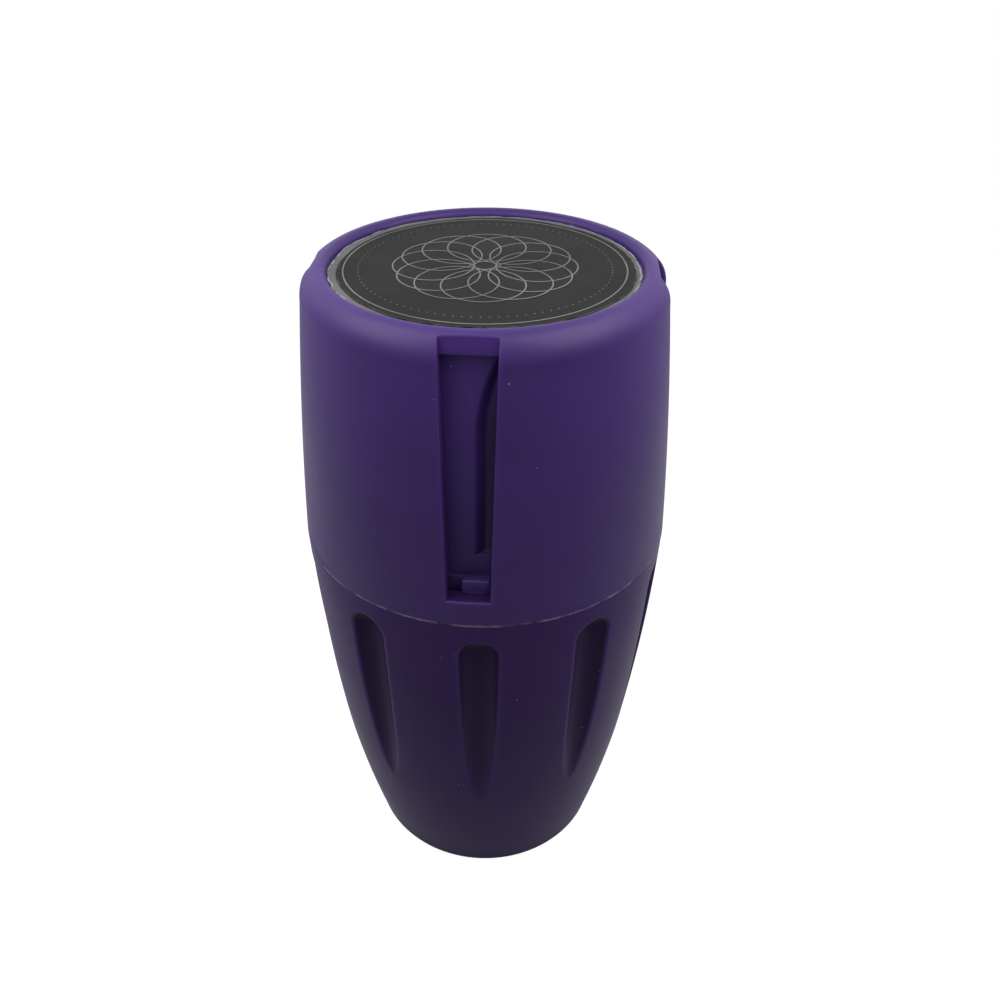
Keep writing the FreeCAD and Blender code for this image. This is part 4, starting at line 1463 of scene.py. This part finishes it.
@dataclass
class Rotor:
    """The upper half of the mill in the cap: plate, teeth, magnet, bush and screws."""

    floor_z: float = 72.9
    plate_z: float = 70.9
    tooth_tip: float = 62.9
    tooth_r: float = 1.2
    inner_ring: float = 12.0
    inner_teeth: int = 8
    outer_ring: float = 19.6
    outer_teeth: int = 12
    bore_r: float = 2.06
    bush_r: float = 3.3
    bush_soft: float = 0.12
    bush_sides: int = 48
    hub_z: float = 67.0
    magnet_r: float = 5.5
    magnet_top: float = 69.8
    magnet_soft: float = 0.25
    magnet_sides: int = 64
    screw_ring: float = 16.0
    screws: int = 3
    screw_sides: int = 24
    screw_r: float = 1.25
    screw_head_r: float = 2.3
    screw_head: float = 1.2
    screw_rim: Corner = (0.1, 0.08)
    screw_tip: float = 76.5
    tip_start: Corner = (0.2, 0.1)
    tip_inset: float = 0.5
    thread_pitch: float = 0.5
    thread_depth: float = 0.16
    thread_start: float = 0.2
    thread_end: float = 0.4
    socket_r: float = 1.0
    socket_mouth: float = 1.3
    socket_depth: float = 0.8
    socket_tip: float = 0.9

    def screw(self) -> Skin:
        """One countersunk screw with a hexagon socket, standing on its ring at -Y, head down."""
        around_screw = full_turn(self.screw_sides)
        neck = self.plate_z + self.screw_head
        body = [(self.screw_head_r - self.screw_rim[0], self.plate_z),
                (self.screw_head_r, self.plate_z + self.screw_rim[1]), (self.screw_r, neck)]
        for step in range(int((self.screw_tip - neck - self.thread_end) / self.thread_pitch)):
            low = neck + self.thread_start + step * self.thread_pitch
            body += [(self.screw_r, low), (self.screw_r - self.thread_depth, low + self.thread_pitch / 2)]
        body += [(self.screw_r - self.tip_start[0], self.screw_tip - self.tip_start[1]),
                 (self.screw_r - self.tip_inset, self.screw_tip), (0.0, self.screw_tip)]
        socket = turned([(self.socket_mouth, self.plate_z), (self.socket_r, self.plate_z),
                         (self.socket_r, self.plate_z + self.socket_depth),
                         (0.0, self.plate_z + self.socket_tip)], around_screw)
        corner = math.pi / 6
        flat = 1.0 / np.cos((around_screw + corner) % (2 * corner) - corner)
        socket[1:3, :, :2] *= flat[None, :, None]
        return standing(np.concatenate([socket[::-1], turned(body, around_screw)]), self.screw_ring)

    def build(self, shop: Workshop) -> None:
        """Make the rotor's pieces and dress them."""
        finishes = shop.finishes
        settle(copied("rotor_plate", finishes.mill, "rotor_disc"), Body.CAP, "rotor_plate")
        profile = pin_profile(self.tooth_r, self.floor_z, self.tooth_tip)
        rings = [shop.ringed("rotor_pins_" + label, pin(profile, ring), count,
                             CAP_TURN + 90.0 + 180.0 / count, finishes.steel, sew=False)
                 for label, ring, count in (("inner", self.inner_ring, self.inner_teeth),
                                            ("outer", self.outer_ring, self.outer_teeth))]
        settle(joined(rings, "rotor_pins"), Body.CAP, "rotor_teeth")
        magnet = band(self.bush_r, self.magnet_r, self.hub_z, self.magnet_top, self.magnet_soft)
        settle(spun("rotor_ring_magnet", magnet, finishes.magnet, self.magnet_sides),
               Body.CAP, "rotor_magnet")
        bush = band(self.bore_r, self.bush_r, self.hub_z, self.floor_z, self.bush_soft)
        settle(spun("pivot_sleeve", bush, finishes.slip, self.bush_sides),
               Body.CAP, "pivot_bush")
        settle(shop.ringed("plate_screws", self.screw(), self.screws, CAP_TURN + 90.0, finishes.steel,
                           sew=False), Body.CAP, "rotor_screws")


@dataclass
class CapDrum:
    """The drum inside the cap: skirt, flange with lugs in the windows, and a tapered side with channels."""

    skirt_r: float = 24.7
    foot_z: float = 68.9
    flange_r: float = 26.9
    flange_top: float = 75.1
    flange_soft: float = 0.25
    # Painted shade on the flange and skirt.
    flange_shade: float = 0.8
    foot_r: float = 26.1
    top_r: float = 23.5
    top_z: float = 109.8
    wall: float = 3.0
    floor_z: float = 72.9
    floor_top: float = 75.2
    sectors: int = 4
    lug_left: float = -1.125
    lug_right: float = 3.075
    lug_low: float = 72.65
    lug_top: float = 75.06
    lug_reach: float = 28.0
    lug_round: float = 0.4
    lug_root: float = 0.8
    # Painted shade over the whole lug.
    lug_shade: float = 0.7
    channel_near: float = 1.3
    channel_width: float = 5.0
    channel_depth: float = 0.95
    channel_foot: float = 78.4
    channel_spring: float = 97.9
    channel_top: float = 108.9
    channel_curve: float = 25.5
    channel_soft: float = 1.8
    channel_rings: int = 9
    peak_share: float = 3.0
    peak_room: float = 0.4
    # Painted shade in a channel: its share at the peak, and how fast it grows over the foot.
    peak_shade: float = 0.35
    foot_share: float = 0.3
    foot_shade: float = 4.0
    # Painted shade on the drum's side, darker towards the flange.
    shade_z: float = 92.0
    shade_share: float = 0.6
    land_bias: float = 1.5
    land_rings: int = 9
    boss_r: float = 3.0
    boss_top: float = 77.4
    boss_ring: float = 16.0
    boss_root: float = 0.5
    bosses: int = 3
    side_rows: int = 30
    arch_rows: int = 15
    columns: int = 29

    def radius(self, height: np.ndarray) -> np.ndarray:
        """Radius of the drum's side at heights."""
        share = (np.asarray(height) - self.flange_top) / (self.top_z - self.flange_top)
        return self.foot_r + (self.top_r - self.foot_r) * share

    def on_side(self, across: np.ndarray, height: np.ndarray, sunk: object = 0.0) -> np.ndarray:
        """Points of the side at places across the front, sunk straight in by a depth."""
        return points_at(across, sunk - np.sqrt(self.radius(height) ** 2 - across ** 2), height)

    def channel_shade(self, height: np.ndarray) -> np.ndarray:
        """Painted shade on a channel's floor at heights: less towards its peak."""
        below = (self.channel_top - height) / (self.channel_top - self.channel_spring)
        return np.clip(self.peak_shade + (1 - self.peak_shade) * below, 0, 1)

    def shade(self, height: np.ndarray) -> np.ndarray:
        """Painted shade on the side at heights: darker towards the flange."""
        below = (self.shade_z - height) / (self.shade_z - self.flange_top)
        return self.shade_share * np.clip(below, 0, 1)

    def channel_outline(self, inset: float) -> tuple[np.ndarray, np.ndarray, np.ndarray]:
        """Rows of a channel from foot to peak.

        Args:
            inset: how far inside the channel's edge.

        Returns:
            The rows' heights, and the right and left ends of each.
        """
        middle = self.channel_near + self.channel_width / 2
        far = middle + self.channel_width / 2 - inset
        peak = min(self.channel_top - self.peak_share * inset, self.top_z - self.peak_room)
        arch = BowedSide((far, self.channel_spring), (middle, peak), self.channel_curve)
        straight = np.linspace(self.channel_foot + inset * self.foot_share, self.channel_spring,
                               self.side_rows)
        curved = np.linspace(self.channel_spring, peak, self.arch_rows)[1:]
        right = np.concatenate([np.full(self.side_rows, far), arch.radius(curved)])
        return np.concatenate([straight, curved]), right, 2 * middle - right

    def channel_loop(self, inset: float) -> tuple[np.ndarray, np.ndarray]:
        """Places across and heights round a channel: up its right side, over, down and along its foot."""
        height, right, left = self.channel_outline(inset)
        foot = np.linspace(left[0], right[0], self.columns)[1:-1]
        return (np.concatenate([right, left[::-1][1:], foot]),
                np.concatenate([height, height[::-1][1:], np.full(len(foot), height[0])]))

    def add_channel(self, skin: Skin) -> tuple[np.ndarray, np.ndarray]:
        """Add one channel's soft wall and its floor.

        Args:
            skin: the sector's skin.

        Returns:
            Angles and heights of the loop where the channel meets the plain side.
        """
        out_across, out_tall = self.channel_loop(-self.channel_soft / 2)
        in_across, in_tall = self.channel_loop(self.channel_soft / 2)
        part = ring_shares(self.channel_rings)
        across, tall = out_across + (in_across - out_across) * part, out_tall + (in_tall - out_tall) * part
        full = np.sqrt(self.radius(tall) ** 2 - across ** 2) - self.radius(tall) + self.channel_depth
        # The channel's wall and floor take painted shade, blended from the side's into the channel's own.
        sink = part ** 2 * (3 - 2 * part)
        foot = np.arange(len(out_tall)) > len(out_tall) - self.columns
        darkening = np.where(foot, np.clip(self.foot_shade * part, 0, 1), sink ** 3)
        shade = self.shade(tall)
        skin.patch(self.on_side(across, tall, full * sink), closed=True,
                   painted_shade=shade + (self.channel_shade(tall) - shade) * darkening)
        height, right, left = (run[:, None] for run in self.channel_outline(self.channel_soft / 2))
        floor = points_at(left + (right - left) * np.linspace(0, 1, self.columns),
                          self.channel_depth - self.radius(height), height)
        skin.patch(floor, painted_shade=self.channel_shade(height))
        return angles_of(self.on_side(out_across, out_tall)), out_tall

    def add_lug(self, skin: Skin) -> None:
        """Add one lug to a sector's skin."""
        outline = np.array(softened([
            (self.lug_left, self.lug_low), (self.lug_right, self.lug_low),
            (self.lug_right, self.lug_top), (self.lug_left, self.lug_top)], self.lug_round, 4))
        middle = outline.mean(axis=0)
        root, tip = self.flange_r - self.lug_root, self.lug_reach
        rings, glow = [], []
        # Share of the outline, reach and paleness of each ring from the root's middle to the tip's. The
        # paleness is a painted highlight on the tip's edge.
        for share, reach, pale in ((0.0, root, 0.0), (1.0, root, 0.0), (1.0, tip - 0.3, 0.3),
                                   (0.97, tip - 0.1, 0.9), (0.9, tip, 0.6), (0.0, tip, 0.0)):
            flat = middle + (outline - middle) * share
            rings.append(points_at(flat[:, 0], -reach, flat[:, 1]))
            glow.append([pale])
        skin.patch(np.array(rings), glow, closed=True, painted_shade=self.lug_shade)

    def sector(self) -> Skin:
        """One channel and one lug with their share of the drum."""
        skin = Skin()
        out_angle, out_tall = self.add_channel(skin)
        half = math.pi / self.sectors
        head_points = 2 * self.arch_rows - 1
        rows = np.linspace(self.flange_top, self.top_z, self.side_rows)
        to_angle, to_height = border(half, rows, head_points, self.columns)
        spread = ring_shares(self.land_rings, self.land_bias)
        level = out_tall + (to_height - out_tall) * spread
        skin.patch(polar(self.radius(level), out_angle + (to_angle - out_angle) * spread, level),
                   closed=True, painted_shade=self.shade(level))
        flange = softened([
            (self.foot_r, self.flange_top), (self.flange_r, self.flange_top), (self.flange_r, self.foot_z),
            (self.skirt_r, self.foot_z), (self.skirt_r, self.floor_z), (0.0, self.floor_z)],
            self.flange_soft, closed=False)
        skin.patch(turned(flange, np.linspace(-half, half, self.columns)), painted_shade=self.flange_shade)
        inside = [(self.top_r, self.top_z), (self.top_r - self.wall, self.top_z),
                  (self.foot_r - self.wall, self.floor_top), (0.0, self.floor_top)]
        skin.patch(turned(inside, np.linspace(half, -half, head_points)))
        self.add_lug(skin)
        return skin

    def build(self, shop: Workshop) -> None:
        """Make the drum with its screw bosses and dress it."""
        side = shop.ringed("drum_side", self.sector(), self.sectors, CAP_TURN, shop.finishes.drum)
        root = self.floor_top - self.boss_root
        boss = pin([(0.0, root), (self.boss_r, root), (self.boss_r, self.boss_top), (0.0, self.boss_top)],
                   self.boss_ring)
        bosses = shop.ringed("drum_bosses", boss, self.bosses, CAP_TURN + 90.0, shop.finishes.drum,
                             sew=False)
        settle(joined([side, bosses], "cap_drum"), Body.CAP, "mill_drum")


# ---------------------------------------------------------------------------------------------
# Printed disc


@dataclass(frozen=True)
class CutSheet:
    """A thin round sheet with an uneven cut edge."""

    radius: float
    low: float
    high: float
    waves: Sequence[tuple[int, float]]
    nicks: float
    count: int
    aside: Corner = (0.0, 0.0)
    seed: int = 7
    nick_points: int = 3
    edge_drop: float = 0.03

    def skin(self) -> Skin:
        """The sheet, with slow waves and the knife's small steps in its edge."""
        draw = np.random.default_rng(self.seed + self.count)
        turn = full_turn(self.count)
        cut = np.zeros(self.count)
        for number, depth in self.waves:
            cut += depth * (0.5 + 0.5 * np.sin(number * turn + draw.uniform(0, math.tau)))
        steps = draw.random(self.count // self.nick_points + 1)
        cut += self.nicks * np.repeat(steps, self.nick_points)[:self.count]
        rings, glow = [], []
        # Share of the radius, height and paleness of each ring from the middle of the underside.
        for share, height, pale in (
                (0.0, self.low, 0.0), (1.0, self.low, 1.0), (1.0, self.high - self.edge_drop, 1.0),
                (0.998, self.high, 1.0), (0.992, self.high, 0.8), (0.986, self.high, 0.0),
                (0.5, self.high, 0.0), (0.0, self.high, 0.0)):
            rings.append(polar((self.radius - cut) * share, turn, height))
            glow.append([pale])
        skin = Skin()
        skin.patch(np.array(rings) + np.array([*self.aside, 0.0]), glow, closed=True)
        return skin


@dataclass
class PrintedDisc:
    """The hand-cut black disc in the cap's recess, on its pale backing, with a plain printed rosette."""

    backing_r: float = 23.1
    backing_low: float = 111.6
    backing_top: float = 111.76
    disc_r: float = 22.08
    disc_top: float = 111.9
    disc_aside: Corner = (0.22, -0.2)
    border_r: float = 20.75
    dot_ring_r: float = 18.6
    dot_r: float = 0.1
    dots: int = 96
    rosette_reach: float = 7.6
    circle_r: float = 6.0
    circles: int = 12
    line: float = 0.22
    ink: float = 0.02
    ink_sunk: float = 0.1
    overlap: float = 0.003

    def build(self, shop: Workshop) -> None:
        """Make the sheets and the print, and dress them."""
        finishes = shop.finishes
        backing = CutSheet(self.backing_r, self.backing_low, self.backing_top, ((5, 0.08), (13, 0.06)),
                           nicks=0.3, count=240)
        settle(backing.skin().piece("disc_backing", finishes.backing),
               Body.CAP, "label_backing")
        face = CutSheet(self.disc_r, self.backing_top, self.disc_top, ((3, 0.2), (7, 0.16), (19, 0.08)),
                        nicks=0.08, count=180, aside=self.disc_aside)
        settle(face.skin().piece("disc_face", finishes.print_black), Body.CAP, "label_face")
        lengths = {
            "Border Radius": self.border_r, "Dot Ring Radius": self.dot_ring_r, "Dot Radius": self.dot_r,
            "Rosette Reach": self.rosette_reach, "Circle Radius": self.circle_r, "Line Width": self.line,
            "Ink Depth": self.ink, "Overlap": self.overlap,
            "Height": self.disc_top + self.ink * (0.5 - self.ink_sunk)}
        inputs = {name: length * MM for name, length in lengths.items()}
        ink = grown("disc_print", bpy.data.meshes.new("disc_print"), shop.rosette, inputs | {
            "Dot Count": self.dots, "Circle Count": self.circles, "Border Points": 180,
            "Circle Points": 72, "Dot Points": 10, "Material": finishes.print_pale})
        settle(ink, Body.CAP)


# ---------------------------------------------------------------------------------------------
# Studio


@dataclass(frozen=True)
class Panel:
    """A square panel of soft light that faces the object."""

    name: str
    turn_deg: float
    reach: float
    height: float
    size: float
    power: float
    mirrored: bool

    def build(self, aim: Vector) -> None:
        """Hang the panel, turned towards a place."""
        lamp = bpy.data.lights.new(self.name, "AREA")
        lamp.shape = "SQUARE"
        lamp.size = self.size * MM
        lamp.energy = self.power
        panel = bpy.data.objects.new(self.name, lamp)
        panel.location = Vector(polar(self.reach, math.radians(self.turn_deg), self.height)) * MM
        panel.rotation_euler = (aim - panel.location).to_track_quat("-Z", "Y").to_euler()
        panel.visible_camera = False
        panel.visible_glossy = self.mirrored
        bpy.context.scene.collection.objects.link(panel)


@dataclass
class Studio:
    """Pale floor, soft light and the camera at the photograph's angle."""

    camera_reach: float = 133.74
    camera_height: float = 162.40
    camera_side_deg: float = 1.905
    camera_tilt_deg: float = 34.616
    sensor: float = 36.0
    focal_share: float = 0.94555
    axis_shift: float = 0.01483
    clip: Span = (0.01, 20.0)
    panel_aim: float = 80.0
    floor_reach: float = 3.0
    floor_tone: float = 0.06
    floor_rough: float = 0.9
    paper_tone: float = 0.8
    glow: float = 1.0
    glow_seen: float = 0.19
    glow_share: float = 0.3
    glow_share_seen: float = 0.5
    sky: float = 0.33

    def build(self) -> None:
        """Set the stage."""
        self.floor()
        self.world()
        self.lamps()
        self.camera()
        bpy.context.scene.view_settings.view_transform = "Standard"

    @staticmethod
    def background_ray(graph: Graph) -> bpy.types.NodeSocket:
        """1 for rays that should see the plain background: the camera's, and mirrored or passed ones."""
        path = graph.node("ShaderNodeLightPath").outputs
        seen = graph.math("MAXIMUM", path["Is Camera Ray"], path["Is Glossy Ray"])
        return graph.math("MAXIMUM", seen, path["Is Transmission Ray"])

    def floor(self) -> None:
        """A wide pale floor that keeps a soft shadow."""
        mesh = bpy.data.meshes.new("floor")
        reach = self.floor_reach
        mesh.from_pydata([(-reach, -reach, 0), (reach, -reach, 0), (reach, reach, 0), (-reach, reach, 0)],
                         [], [(0, 1, 2, 3)])
        material = bpy.data.materials.new("Pale floor")
        material.use_nodes = True
        graph = Graph(material.node_tree)
        shader = material.node_tree.nodes["Principled BSDF"]
        for name, value in (("Base Color", (self.floor_tone,) * 3 + (1.0,)),
                            ("Roughness", self.floor_rough), ("Specular IOR Level", 0.0)):
            shader.inputs[name].default_value = value
        paper = graph.node("ShaderNodeBsdfDiffuse", {"Color": (self.paper_tone,) * 3 + (1.0,)})
        ray = graph.node("ShaderNodeLightPath").outputs["Is Camera Ray"]
        glow = graph.node("ShaderNodeEmission", {
            "Color": (1.0,) * 4, "Strength": graph.line(ray, self.glow_seen, self.glow)})
        seen = graph.blend(graph.line(ray, self.glow_share_seen, self.glow_share), paper, glow)
        surface = graph.blend(self.background_ray(graph), shader, seen)
        graph.put(material.node_tree.nodes["Material Output"].inputs["Surface"], surface.outputs[0])
        new_object("floor", mesh, material)

    def world(self) -> None:
        """Even soft light all round, and a white background."""
        world = bpy.data.worlds.new("Studio")
        world.use_nodes = True
        bpy.context.scene.world = world
        graph = Graph(world.node_tree)
        soft = world.node_tree.nodes["Background"]
        white = graph.node("ShaderNodeBackground")
        for light, strength in ((soft, self.sky), (white, 1.0)):
            light.inputs["Color"].default_value = (1.0,) * 4
            light.inputs["Strength"].default_value = strength
        surface = graph.blend(self.background_ray(graph), soft, white)
        graph.put(world.node_tree.nodes["World Output"].inputs["Surface"], surface.outputs[0])

    def lamps(self) -> None:
        """Soft panels round the object, above it: two near the front and two far behind."""
        aim = Vector((0, 0, self.panel_aim * MM))
        for name, turn_deg in (("Left panel", -60.0), ("Right panel", 60.0)):
            Panel(name, turn_deg, reach=66.0, height=160.0, size=80.0, power=0.065,
                  mirrored=True).build(aim)
        for name, turn_deg in (("Back left panel", -130.0), ("Back right panel", 130.0)):
            Panel(name, turn_deg, reach=190.0, height=210.0, size=160.0, power=0.19,
                  mirrored=False).build(aim)

    def camera(self) -> None:
        """The camera where the photograph was taken from."""
        side, tilt = math.radians(self.camera_side_deg), math.radians(self.camera_tilt_deg)
        data = bpy.data.cameras.new("Photograph")
        data.sensor_width = self.sensor
        data.lens = data.sensor_width * self.focal_share
        data.shift_x = self.axis_shift
        data.clip_start, data.clip_end = self.clip
        camera = bpy.data.objects.new("Photograph", data)
        right = np.array([math.cos(side), math.sin(side), 0.0])
        forward = np.array([-math.sin(side) * math.cos(tilt), math.cos(side) * math.cos(tilt),
                            -math.sin(tilt)])
        place = polar(self.camera_reach, side, self.camera_height) * MM
        axes = np.stack([right, np.cross(right, forward), -forward, place], axis=1)
        camera.matrix_world = Matrix([*axes.tolist(), (0.0, 0.0, 0.0, 1.0)])
        bpy.context.scene.collection.objects.link(camera)
        bpy.context.scene.camera = camera


def main() -> None:
    """Build the object round its frame, then the stage."""
    logging.basicConfig(level=logging.INFO, format="%(name)s: %(message)s")
    shop = Workshop(Finishes(Effects()), ring_tree(), print_tree())
    for assembly in (StorageCup(), Mill(), Rotor(), CapDrum(), CapShell(), PrintedDisc()):
        assembly.build(shop)
    Studio().build()
    bpy.context.view_layer.update()


if __name__ == "__main__":
    main()
